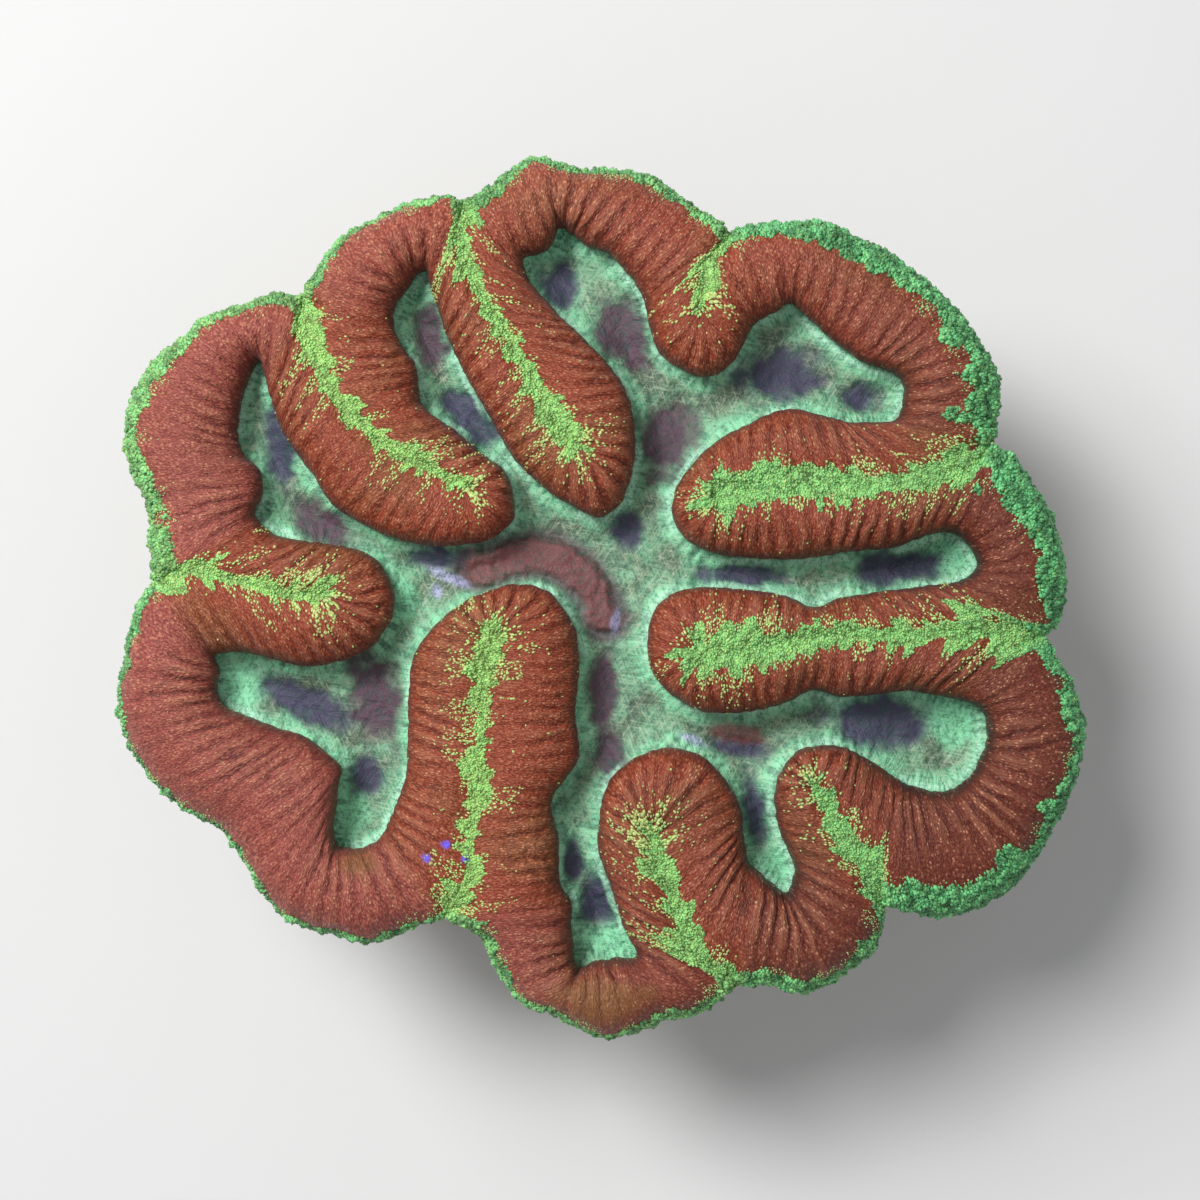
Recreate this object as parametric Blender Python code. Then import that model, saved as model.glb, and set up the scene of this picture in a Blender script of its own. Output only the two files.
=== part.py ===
"""Brain coral colony: one grown piece, cut off flat where it stood on the rock.

A fleshy band winds round the colony. Its outer line is the rim of nine lobes and,
between them, the middle line of nine folds that reach in from the rim. Its inner line
is the edge of the valley, whose floor lies deeper. Under the rim a ribbed wall draws in
to the flat cut. Plan points are in millimetres, seen from above, +Y away from the viewer.
"""
import bmesh
import bpy
import numpy as np
from mathutils import Vector
from mathutils.geometry import delaunay_2d_cdt

MM = 0.001
CREST = 60.0            # height of the band's crest at the middle of the colony
DOME = 6.0              # how much lower the crest lies at the far rim
RIM_DROP = 8.0          # from the crest down to the widest line of a lobe
GROOVE = 0.8            # furrow along the middle line of a fold
MOUTH = 5.0             # how much deeper that furrow is where the fold opens at the rim
MOUTH_LENGTH = 9.0      # distance over which the furrow loses that depth
VALLEY = 9.0            # from the crest down to the flesh's edge on the valley floor
DISH = 1.5              # further fall of the floor away from the flesh
CREST_AT = 0.42         # where the crest runs, from the outer line (0) to the inner (1)
ACROSS = [0.0, 0.1, 0.26, 0.5, 0.74, 0.9, 1.0]
LONG_STEP = 3.4         # an interval of the plan longer than this gets a point between
FLOOR_GRID = 4.0        # spacing of the valley floor's own points
# wall under the rim: scale towards the axis, height as a share of the rim's, rounding
WALL = [(0.975, 0.93, 0.0), (0.925, 0.86, 0.0), (0.87, 0.64, 0.15), (0.76, 0.34, 0.35),
        (0.68, 0.10, 0.5)]
CUT = (0.66, 0.55)      # scale and rounding of the flat cut
BASE_AXES = (71.0, 64.0)  # half axes of the oval the wall rounds off to

# Folds, clockwise from the one at the left. "mid" runs from the rim to the tip; "a" is
# the flesh's edge beside it on the way in, "tip" round the end, "b" on the way out.
FOLDS = [
    {"mid": [(-69, 3), (-63.5, 4.5), (-57.5, 3.5), (-51.5, 2), (-46.5, 1), (-43, 1)],
     "a": [(-59.5, -8.5), (-55.5, -8), (-51, -9), (-46.5, -10), (-42.5, -10)],
     "tip": [(-38.5, -9), (-34.5, -6.5), (-32, -2), (-32, 2), (-34.5, 6)],
     "b": [(-53, 12.5), (-50.5, 10.5), (-46, 9.5), (-42.5, 9), (-38.5, 8)]},
    {"mid": [(-46, 47), (-45, 41), (-42.5, 34.5), (-38, 28.5), (-32.5, 23.5), (-26.5, 20.5),
             (-20.5, 17.5)],
     "a": [(-51.5, 32.5), (-50.5, 29.5), (-48.5, 25), (-45, 20), (-41, 14.5), (-32.5, 10)],
     "tip": [(-26.5, 8.5), (-21, 8.5), (-16.5, 9.5), (-13.5, 12.5), (-13.5, 16), (-15, 20)],
     "b": [(-32, 43.5), (-31, 40), (-28.5, 36), (-27.5, 30.5), (-22.5, 26.5), (-18.5, 23)]},
    {"mid": [(-21, 62), (-21.5, 55.5), (-19.5, 49), (-15.5, 43), (-12, 36.5), (-8, 30),
             (-4.5, 24.5)],
     "a": [(-26.5, 49), (-25.5, 46), (-24, 41.5), (-21.5, 36.5), (-18.5, 30.5), (-15, 24.5)],
     "tip": [(-10.5, 19), (-7, 16), (-2.5, 13.5), (0.5, 13), (3.5, 15.5), (5, 19.5),
             (5.5, 24)],
     "b": [(-11.5, 51), (-10.5, 48.5), (-7, 44.5), (-2.5, 40.5), (1.5, 36), (4.5, 31)]},
    {"mid": [(20, 56.5), (17.5, 53), (16, 49.5), (15.5, 45.5)],
     "a": [(7, 46.5), (7.5, 44.5), (8, 42)],
     "tip": [(9, 39), (11.5, 36.5), (15.5, 34.5), (19, 35.5), (21.5, 38), (22.5, 40.5)],
     "b": [(25.5, 44), (24.5, 43.5), (23.5, 42.5)]},
    {"mid": [(60.5, 24), (55.5, 20.5), (49, 18.5), (41, 18), (32.5, 18), (24, 17), (18, 16)],
     "a": [(43.5, 27.5), (41.5, 27.5), (38.5, 27.5), (34.5, 28.5), (29.5, 29.5), (23, 27.5)],
     "tip": [(17.5, 24.5), (14, 21), (11.5, 17), (11, 14), (12, 11), (14.5, 8.5), (18, 7)],
     "b": [(53.5, 10.5), (50.5, 10), (46, 8.5), (39.5, 7.5), (32, 6.5), (24, 6.5)]},
    {"mid": [(68.5, -5.5), (62, -5), (53.5, -5), (45, -5.5), (38, -5.5), (33, -5.5),
             (28, -6.5), (21, -7.5), (15.5, -8)],
     "a": [(54.5, 2.5), (51, 2), (47, 1.5), (41.5, 1), (37, 0.5), (33, -1), (28.5, 0.5),
           (22.5, 1.5)],
     "tip": [(17, 2), (12.5, 1.5), (9, -0.5), (7.5, -4.5), (7.5, -9), (9, -12.5),
             (12.5, -15.5), (16.5, -17)],
     "b": [(55, -15.5), (52.5, -15), (48, -14), (42, -14.5), (37, -15), (33, -14),
           (28, -16), (22, -17)]},
    {"mid": [(43.5, -47), (41.5, -42), (38.5, -37.5), (35.5, -32.5), (33, -28.5)],
     "a": [(46, -27.5), (44.5, -26.5), (42.5, -25), (39.5, -23.5)],
     "tip": [(37, -22.5), (33.5, -22.5), (30, -23.5), (27.5, -26.5), (26.5, -30)],
     "b": [(30, -41), (29, -38.5), (28, -36), (27, -33)]},
    {"mid": [(21, -59), (16.5, -55.5), (13, -50.5), (11.5, -46), (9, -41), (8, -36)],
     "a": [(24.5, -42), (23, -40.5), (22.5, -38.5), (22, -36), (22, -33)],
     "tip": [(21, -30), (18.5, -27), (16, -24.5), (12.5, -23), (8.5, -23), (5, -24.5),
             (2, -27.5), (0.5, -31)],
     "b": [(4.5, -52.5), (3, -48.5), (1.5, -44.5), (0, -39.5), (0, -35)]},
    {"mid": [(-24, -48.5), (-20.5, -43.5), (-20, -37.5), (-19, -30.5), (-18.5, -23.5),
             (-18, -16.5), (-17.5, -10.5), (-16.5, -5.5)],
     "a": [(-4.5, -47), (-6.5, -43.5), (-6.5, -37), (-7.5, -30.5), (-3.5, -24),
           (-3.5, -16.5), (-3, -10.5)],
     "tip": [(-3.5, -5.5), (-5.5, -1.5), (-8.5, 1.5), (-13.5, 2.5), (-18.5, 1),
             (-23, -1.5), (-27, -5.5)],
     "b": [(-33.5, -36), (-32.5, -34), (-31.5, -31.5), (-30, -27), (-29.5, -21),
           (-29.5, -15.5), (-29, -9.5)]},
]

# Lobes, each between a fold and the next: the rim and the flesh's edge across from it.
LOBES = [
    [((-69.5, 8), (-53.5, 14)), ((-70.5, 14.5), (-52.5, 16.5)), ((-73, 20), (-53, 20)),
     ((-74, 26), (-55.5, 22.5)), ((-73, 31), (-56.5, 26)), ((-70.5, 36), (-56, 30)),
     ((-66.5, 40), (-55, 33.5)), ((-61.5, 43.5), (-54, 36)), ((-56, 45.5), (-53, 37)),
     ((-50.5, 47), (-52.5, 35.5))],
    [((-44, 51), (-31.5, 46)), ((-41.5, 55), (-30.5, 47.5)), ((-37.5, 58), (-29.5, 49)),
     ((-32, 60.5), (-28.5, 50.5)), ((-26.5, 62), (-27, 51))],
    [((-18, 63.5), (-11.5, 53)), ((-15, 65.5), (-9.5, 53.5)), ((-11.5, 68), (-7.5, 55)),
     ((-6.5, 68), (-6.5, 58)), ((-1, 67), (-4.5, 57)), ((4.5, 67), (-2, 55)),
     ((8.5, 65), (1, 54)), ((12.5, 62.5), (3.5, 51.5)), ((16, 59.5), (5.5, 49))],
    [((23, 57.5), (27.5, 45)), ((28.5, 58.5), (29.5, 46)), ((35.5, 58.5), (31.5, 44.5)),
     ((40.5, 56), (34, 42)), ((46, 53.5), (37, 39.5)), ((50.5, 50), (40.5, 37)),
     ((54.5, 46), (43, 36)), ((58, 42), (45.5, 35)), ((60.5, 37.5), (47, 33.5)),
     ((61.5, 32), (47, 30.5)), ((61, 27.5), (46, 28))],
    [((64.5, 21.5), (55.5, 10)), ((67.5, 17.5), (57, 8.5)), ((70.5, 13), (58, 7)),
     ((72, 8), (58.5, 5.5)), ((72.5, 2), (57.5, 4)), ((71.5, -2.5), (56, 3))],
    [((71, -9), (57, -16)), ((73.5, -13.5), (59, -17)), ((75, -18.5), (60, -19.5)),
     ((75, -24), (60, -22.5)), ((74, -29.5), (59, -24.5)), ((71.5, -34.5), (58, -26.5)),
     ((68.5, -39), (56, -28.5)), ((64.5, -44.5), (54, -29.5)), ((59.5, -47.5), (51.5, -29.5)),
     ((53.5, -49), (49.5, -29)), ((48.5, -48), (47.5, -28.5))],
    [((43.5, -51.5), (30, -43)), ((40, -56.5), (29.5, -45)), ((32.5, -60.5), (28.5, -45.5)),
     ((26.5, -59.5), (26.5, -44))],
    [((18, -62), (5.5, -54.5)), ((14, -64.5), (5, -55.5)), ((9, -65.5), (2.5, -55.5)),
     ((5, -67), (1, -56)), ((0.5, -68), (-0.5, -56)), ((-4, -65.5), (-2.5, -57)),
     ((-8.5, -63.5), (-3.5, -57.5)), ((-13.5, -61), (-4, -55.5)), ((-16, -56), (-4, -53)),
     ((-18, -52), (-4.5, -50))],
    [((-27.5, -49.5), (-35, -37.5)), ((-31.5, -51.5), (-37.5, -38.5)),
     ((-36, -53), (-39, -38.5)), ((-41, -52), (-41, -38)), ((-45.5, -51), (-41.5, -35)),
     ((-50, -48.5), (-41, -32)), ((-53, -45), (-40.5, -28.5)), ((-55.5, -40.5), (-40, -26)),
     ((-59, -35.5), (-42.5, -23.5)), ((-63.5, -33), (-46, -21)), ((-68.5, -29), (-50.5, -19.5)),
     ((-72, -24.5), (-54.5, -18)), ((-75, -19), (-58, -16.5)), ((-75, -14), (-59.5, -14)),
     ((-74.5, -9.5), (-59, -11)), ((-72, -2), (-59.5, -9.5))],
]


def stations():
    """Outer and inner plan points in walking order, with each one's fold and place in it."""
    outer, inner, kind = [], [], []
    for number, (fold, lobe) in enumerate(zip(FOLDS, LOBES)):
        last = len(fold["mid"]) - 1
        for step in range(last):
            outer.append(fold["mid"][step])
            inner.append(fold["a"][step])
            kind.append(("fold", number, step))
        for point in fold["tip"]:
            outer.append(fold["mid"][-1])
            inner.append(point)
            kind.append(("fold", number, last))
        for step in range(last - 1, -1, -1):
            outer.append(fold["mid"][step])
            inner.append(fold["b"][step])
            kind.append(("fold", number, step))
        for rim, edge in lobe:
            outer.append(rim)
            inner.append(edge)
            kind.append(("lobe", number, 0))
    return np.array(outer, float), np.array(inner, float), kind


def curve_point(before, start, end, after, t):
    """Catmull-Rom spline between start and end."""
    return 0.5 * (2 * start + (end - before) * t
                  + (2 * before - 5 * start + 4 * end - after) * t ** 2
                  + (3 * start - before - 3 * end + after) * t ** 3)


def middle(points, index, t=0.5):
    """A spline point between one plan point and the next on the closed line."""
    count = len(points)
    return curve_point(*(points[(index + k) % count] for k in (-1, 0, 1, 2)), t)


def outer_middle(outer, kind, index):
    """The same on the outer line, where a fold's middle line is walked in and out again."""
    after = (index + 1) % len(outer)
    here, there = kind[index], kind[after]
    if here[0] == there[0] == "fold":
        if here[2] == there[2]:
            return outer[index]
        line = np.array(FOLDS[here[1]]["mid"], float)
        first = min(here[2], there[2])
        before = line[first - 1] if first else 2 * line[0] - line[1]
        beyond = line[first + 2] if first + 2 < len(line) else 2 * line[-1] - line[-2]
        return curve_point(before, line[first], line[first + 1], beyond, 0.5)
    before = outer[index - 1] if here[0] == "lobe" else 2 * outer[index] - outer[after]
    beyond = outer[(after + 1) % len(outer)]
    if there[0] == "fold":
        beyond = 2 * outer[after] - outer[index]
    return curve_point(before, outer[index], outer[after], beyond, 0.5)


def dense_plan():
    """The plan with a point added in every long interval; both walks of a fold alike."""
    outer, inner, kind = stations()
    count = len(outer)
    split = []
    for i in range(count):
        j = (i + 1) % count
        span = max(np.linalg.norm(outer[j] - outer[i]), np.linalg.norm(inner[j] - inner[i]))
        split.append(span > LONG_STEP or kind[i][0] == kind[j][0] == "fold")
    new_outer, new_inner, in_fold = [], [], []
    for i in range(count):
        j = (i + 1) % count
        new_outer.append(outer[i])
        new_inner.append(inner[i])
        in_fold.append(kind[i][0] == "fold")
        if split[i]:
            new_outer.append(outer_middle(outer, kind, i))
            new_inner.append(middle(inner, i))
            in_fold.append(kind[i][0] == kind[j][0] == "fold")
    return np.array(new_outer), np.array(new_inner), np.array(in_fold)


def crest_height(x, y):
    """Height of the gently domed top."""
    return CREST - DOME * np.clip((x ** 2 + y ** 2) / 75.0 ** 2, 0, 1.2)


def band_height(x, y, across, in_fold, mouth):
    """Rounded cross-section of the flesh; mouth is the distance to the fold's mouth."""
    top = crest_height(x, y)
    if across > CREST_AT:
        reach = (across - CREST_AT) / (1 - CREST_AT)
        return top - VALLEY * (1 - (1 - reach ** 2.6) ** 0.62)
    reach = 1 - across / CREST_AT
    furrow = GROOVE + MOUTH * np.exp(-(mouth / MOUTH_LENGTH) ** 2)
    drop = np.where(in_fold, furrow, RIM_DROP)
    return top - drop * (1 - (1 - reach ** 2.2) ** 0.75)


def edge_distance(point, line):
    """Distance from a plan point to the closed line through the given points."""
    start, end = line, np.roll(line, -1, axis=0)
    along = end - start
    t = np.clip(((point - start) * along).sum(1) / (along ** 2).sum(1), 0, 1)
    return np.linalg.norm(start + along * t[:, None] - point, axis=1).min()


def build_colony():
    """Band, valley floor, wall and flat cut as one closed mesh."""
    outer, inner, in_fold = dense_plan()
    count = len(outer)
    mouths = np.array([fold["mid"][0] for fold in FOLDS], float)
    to_mouth = np.linalg.norm(outer[:, None] - mouths[None], axis=2).min(axis=1)
    mesh = bmesh.new()

    # band: rings of points from the outer line to the inner one
    shared = {}
    rings = []
    for across in ACROSS:
        ring = []
        for i in range(count):
            x, y = outer[i] + (inner[i] - outer[i]) * across
            z = float(band_height(x, y, across, in_fold[i], to_mouth[i]))
            key = (round(x, 5), round(y, 5)) if across == 0.0 else (i, across)
            if across == 0.0 and to_mouth[i] < 1e-6:
                z = float(crest_height(x, y)) - RIM_DROP
            if key not in shared:
                shared[key] = mesh.verts.new((x, y, z))
            ring.append(shared[key])
        rings.append(ring)
    for low, high in zip(rings, rings[1:]):
        for i in range(count):
            j = (i + 1) % count
            corners = [low[i], low[j], high[j], high[i]]
            if low[i] is low[j]:
                corners = [low[i], high[j], high[i]]
            mesh.faces.new(corners)

    # valley floor: points on a grid inside the flesh's edge, joined without gaps
    edge = rings[-1]
    flat = np.array([v.co[:2] for v in edge])
    level = np.array([v.co.z for v in edge])
    inside = []
    for gx in np.arange(-70, 70.1, FLOOR_GRID):
        for gy in np.arange(-64, 64.1, FLOOR_GRID):
            point = np.array([gx + (0.5 * FLOOR_GRID if round(gy / FLOOR_GRID) % 2 else 0), gy])
            before, after = flat, np.roll(flat, -1, axis=0)
            span = (before[:, 1] > point[1]) != (after[:, 1] > point[1])
            rise = np.where(after[:, 1] == before[:, 1], 1, after[:, 1] - before[:, 1])
            at = before[:, 0] + (point[1] - before[:, 1]) / rise * (after[:, 0] - before[:, 0])
            if (span & (at > point[0])).sum() % 2 and edge_distance(point, flat) > 1.4:
                inside.append(point)
    seeds = [Vector(p) for p in flat] + [Vector(p) for p in inside]
    loop = [(i, (i + 1) % count) for i in range(count)]
    places, _, tris, origin, _, _ = delaunay_2d_cdt(seeds, loop, [], 1, 1e-6)
    corner = []
    for place, source in zip(places, origin):
        if source and source[0] < count:
            corner.append(edge[source[0]])
            continue
        point = np.array(place)
        near = np.exp(-np.linalg.norm(flat - point, axis=1) / 2.0)
        fall = DISH * min(1.0, edge_distance(point, flat) / 4.5)
        corner.append(mesh.verts.new((*point, float((level * near).sum() / near.sum()) - fall)))
    for tri in tris:
        mesh.faces.new([corner[k] for k in tri])

    # wall: rings drawn in below the rim, then the flat cut
    rim = [i for i in range(count) if not in_fold[i] or to_mouth[i] < 1e-6]
    keep = []
    for i in rim:
        if not keep or rings[0][i] is not keep[-1]:
            keep.append(rings[0][i])
    if keep[0] is keep[-1]:
        keep.pop()
    above = keep
    for scale, share, rounding in WALL + [(CUT[0], 0.0, CUT[1])]:
        ring = []
        for vert in keep:
            angle = np.arctan2(vert.co.y / BASE_AXES[1], vert.co.x / BASE_AXES[0])
            oval = np.array([BASE_AXES[0] * np.cos(angle), BASE_AXES[1] * np.sin(angle)])
            plan = np.array(vert.co[:2]) * (1 - rounding) + oval * rounding
            ring.append(mesh.verts.new((*(plan * scale), vert.co.z * share)))
        for i in range(len(keep)):
            j = (i + 1) % len(keep)
            mesh.faces.new([above[i], above[j], ring[j], ring[i]])
        above = ring
    mesh.faces.new(above)
    bmesh.ops.recalc_face_normals(mesh, faces=mesh.faces)
    bmesh.ops.triangulate(mesh, faces=[f for f in mesh.faces if len(f.verts) == 4])
    lowest = min(v.co.x for v in mesh.verts), min(v.co.y for v in mesh.verts)
    highest = max(v.co.x for v in mesh.verts), max(v.co.y for v in mesh.verts)
    centre = Vector([(a + b) / 2 for a, b in zip(lowest, highest)] + [0.0])
    for vert in mesh.verts:
        vert.co = (vert.co - centre) * MM
    data = bpy.data.meshes.new("coral")
    mesh.to_mesh(data)
    mesh.free()
    return data


def flesh_material():
    """Living coral flesh: rust red, matt."""
    material = bpy.data.materials.new("coral_flesh")
    material.use_nodes = True
    shader = material.node_tree.nodes["Principled BSDF"]
    shader.inputs["Base Color"].default_value = (0.27, 0.07, 0.045, 1.0)
    shader.inputs["Roughness"].default_value = 0.6
    shader.inputs["Metallic"].default_value = 0.0
    return material


def main():
    """Clear the scene and add the colony."""
    for thing in list(bpy.data.objects):
        bpy.data.objects.remove(thing, do_unlink=True)
    colony = bpy.data.objects.new("coral", build_colony())
    colony.data.materials.append(flesh_material())
    bpy.context.scene.collection.objects.link(colony)


main()
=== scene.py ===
from math import pi

import bpy
import numpy as np
from bpy.props import FloatProperty, FloatVectorProperty, PointerProperty
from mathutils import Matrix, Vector


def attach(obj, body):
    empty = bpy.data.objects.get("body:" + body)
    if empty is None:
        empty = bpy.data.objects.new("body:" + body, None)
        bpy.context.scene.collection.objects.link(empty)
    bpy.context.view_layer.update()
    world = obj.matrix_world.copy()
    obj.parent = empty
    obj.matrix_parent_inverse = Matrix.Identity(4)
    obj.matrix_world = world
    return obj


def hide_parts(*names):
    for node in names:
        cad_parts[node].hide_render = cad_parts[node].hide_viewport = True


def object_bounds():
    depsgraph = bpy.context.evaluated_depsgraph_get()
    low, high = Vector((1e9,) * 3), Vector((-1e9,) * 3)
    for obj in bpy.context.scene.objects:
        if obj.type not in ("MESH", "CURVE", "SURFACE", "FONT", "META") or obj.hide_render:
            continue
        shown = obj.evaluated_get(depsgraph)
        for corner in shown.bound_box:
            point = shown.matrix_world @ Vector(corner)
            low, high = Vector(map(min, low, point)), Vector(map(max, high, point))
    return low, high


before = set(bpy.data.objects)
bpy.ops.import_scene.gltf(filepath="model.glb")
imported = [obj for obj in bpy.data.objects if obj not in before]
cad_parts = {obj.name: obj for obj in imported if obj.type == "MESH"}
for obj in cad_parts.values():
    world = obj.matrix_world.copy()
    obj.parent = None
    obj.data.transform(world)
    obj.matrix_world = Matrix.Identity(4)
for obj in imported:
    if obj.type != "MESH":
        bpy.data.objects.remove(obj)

bl_info = {
    "name": "Brain coral colony",
    "version": (1, 0, 0),
    "blender": (4, 5, 0),
    "location": "View3D > Sidebar > Coral",
    "description": "Builds a living brain coral: winding flesh, valley floor, papillae, wall",
    "category": "Add Mesh",
}

MM = 0.001
CAD_LOW, CAD_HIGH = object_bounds()

# ---------------------------------------------------------------------------
# Plan of the colony, in millimetres seen from above. "mid" is a fold's middle line from
# the rim to its end, "a" and "b" the flesh's edge on its two sides, "tip" the edge round
# its end. "green" is the half width of its papillae at its mouth, on its way and at its
# end, where looser ones spread over the radius "cloud". "lime" says how far their colour
# leans from emerald to yellow-green.
# ---------------------------------------------------------------------------
FOLDS = [
    {"mid": [(-69, 3), (-63.5, 4.5), (-57.5, 3.5), (-51.5, 2), (-46.5, 1), (-43, 1)],
     "a": [(-59.5, -8.5), (-55.5, -8), (-51, -9), (-46.5, -10), (-42.5, -10)],
     "tip": [(-38.5, -9), (-34.5, -6.5), (-32, -2), (-32, 2), (-34.5, 6)],
     "b": [(-53, 12.5), (-50.5, 10.5), (-46, 9.5), (-42.5, 9), (-38.5, 8)], "green": (3.4, 1.3, 1.2),
     "lime": 0.8, "cloud": 4.6},
    {"mid": [(-46, 47), (-45, 41), (-42.5, 34.5), (-38, 28.5), (-32.5, 23.5), (-26.5, 20.5),
             (-20.5, 17.5)],
     "a": [(-51.5, 32.5), (-50.5, 29.5), (-48.5, 25), (-45, 20), (-41, 14.5), (-32.5, 10)],
     "tip": [(-26.5, 8.5), (-21, 8.5), (-16.5, 9.5), (-13.5, 12.5), (-13.5, 16), (-15, 20)],
     "b": [(-32, 43.5), (-31, 40), (-28.5, 36), (-27.5, 30.5), (-22.5, 26.5), (-18.5, 23)],
     "green": (2.8, 1.1, 0.8), "lime": 0.85, "cloud": 3.4},
    {"mid": [(-21, 62), (-21.5, 55.5), (-19.5, 49), (-15.5, 43), (-12, 36.5), (-8, 30), (-4.5, 24.5)],
     "a": [(-26.5, 49), (-25.5, 46), (-24, 41.5), (-21.5, 36.5), (-18.5, 30.5), (-15, 24.5)],
     "tip": [(-10.5, 19), (-7, 16), (-2.5, 13.5), (0.5, 13), (3.5, 15.5), (5, 19.5), (5.5, 24)],
     "b": [(-11.5, 51), (-10.5, 48.5), (-7, 44.5), (-2.5, 40.5), (1.5, 36), (4.5, 31)],
     "green": (2.6, 1.1, 2.6), "lime": 0.75, "cloud": 4.0},
    {"mid": [(20, 56.5), (17.5, 53), (16, 49.5), (15.5, 45.5)], "a": [(7, 46.5), (7.5, 44.5), (8, 42)],
     "tip": [(9, 39), (11.5, 36.5), (15.5, 34.5), (19, 35.5), (21.5, 38), (22.5, 40.5)],
     "b": [(25.5, 44), (24.5, 43.5), (23.5, 42.5)], "green": (2.4, 1.6, 0.6), "lime": 0.75,
     "cloud": 3.2},
    {"mid": [(60.5, 24), (55.5, 20.5), (49, 18.5), (41, 18), (32.5, 18), (24, 17), (18, 16)],
     "a": [(43.5, 27.5), (41.5, 27.5), (38.5, 27.5), (34.5, 28.5), (29.5, 29.5), (23, 27.5)],
     "tip": [(17.5, 24.5), (14, 21), (11.5, 17), (11, 14), (12, 11), (14.5, 8.5), (18, 7)],
     "b": [(53.5, 10.5), (50.5, 10), (46, 8.5), (39.5, 7.5), (32, 6.5), (24, 6.5)],
     "green": (5.0, 2.3, 3.2), "lime": 0.55, "cloud": 3.4},
    {"mid": [(68.5, -5.5), (62, -5), (53.5, -5), (45, -5.5), (38, -5.5), (33, -5.5), (28, -6.5),
             (21, -7.5), (15.5, -8)],
     "a": [(54.5, 2.5), (51, 2), (47, 1.5), (41.5, 1), (37, 0.5), (33, -1), (28.5, 0.5), (22.5, 1.5)],
     "tip": [(17, 2), (12.5, 1.5), (9, -0.5), (7.5, -4.5), (7.5, -9), (9, -12.5), (12.5, -15.5),
             (16.5, -17)],
     "b": [(55, -15.5), (52.5, -15), (48, -14), (42, -14.5), (37, -15), (33, -14), (28, -16),
           (22, -17)], "green": (4.8, 1.7, 4.2), "lime": 0.6, "cloud": 2.6},
    {"mid": [(43.5, -47), (41.5, -42), (38.5, -37.5), (35.5, -32.5), (33, -28.5)],
     "a": [(46, -27.5), (44.5, -26.5), (42.5, -25), (39.5, -23.5)],
     "tip": [(37, -22.5), (33.5, -22.5), (30, -23.5), (27.5, -26.5), (26.5, -30)],
     "b": [(30, -41), (29, -38.5), (28, -36), (27, -33)], "green": (3.4, 2.0, 0.9), "lime": 0.5,
     "cloud": 3.2},
    {"mid": [(21, -59), (16.5, -55.5), (13, -50.5), (11.5, -46), (9, -41), (8, -36)],
     "a": [(24.5, -42), (23, -40.5), (22.5, -38.5), (22, -36), (22, -33)],
     "tip": [(21, -30), (18.5, -27), (16, -24.5), (12.5, -23), (8.5, -23), (5, -24.5), (2, -27.5),
             (0.5, -31)], "b": [(4.5, -52.5), (3, -48.5), (1.5, -44.5), (0, -39.5), (0, -35)],
     "green": (3.4, 1.5, 1.3), "lime": 0.65, "cloud": 5.0},
    {"mid": [(-24, -48.5), (-20.5, -43.5), (-20, -37.5), (-19, -30.5), (-18.5, -23.5), (-18, -16.5),
             (-17.5, -10.5), (-16.5, -5.5)],
     "a": [(-4.5, -47), (-6.5, -43.5), (-6.5, -37), (-7.5, -30.5), (-3.5, -24), (-3.5, -16.5),
           (-3, -10.5)],
     "tip": [(-3.5, -5.5), (-5.5, -1.5), (-8.5, 1.5), (-13.5, 2.5), (-18.5, 1), (-23, -1.5),
             (-27, -5.5)],
     "b": [(-33.5, -36), (-32.5, -34), (-31.5, -31.5), (-30, -27), (-29.5, -21), (-29.5, -15.5),
           (-29, -9.5)], "green": (3.2, 1.2, 2.0), "lime": 0.85, "cloud": 4.8},
]

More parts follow.
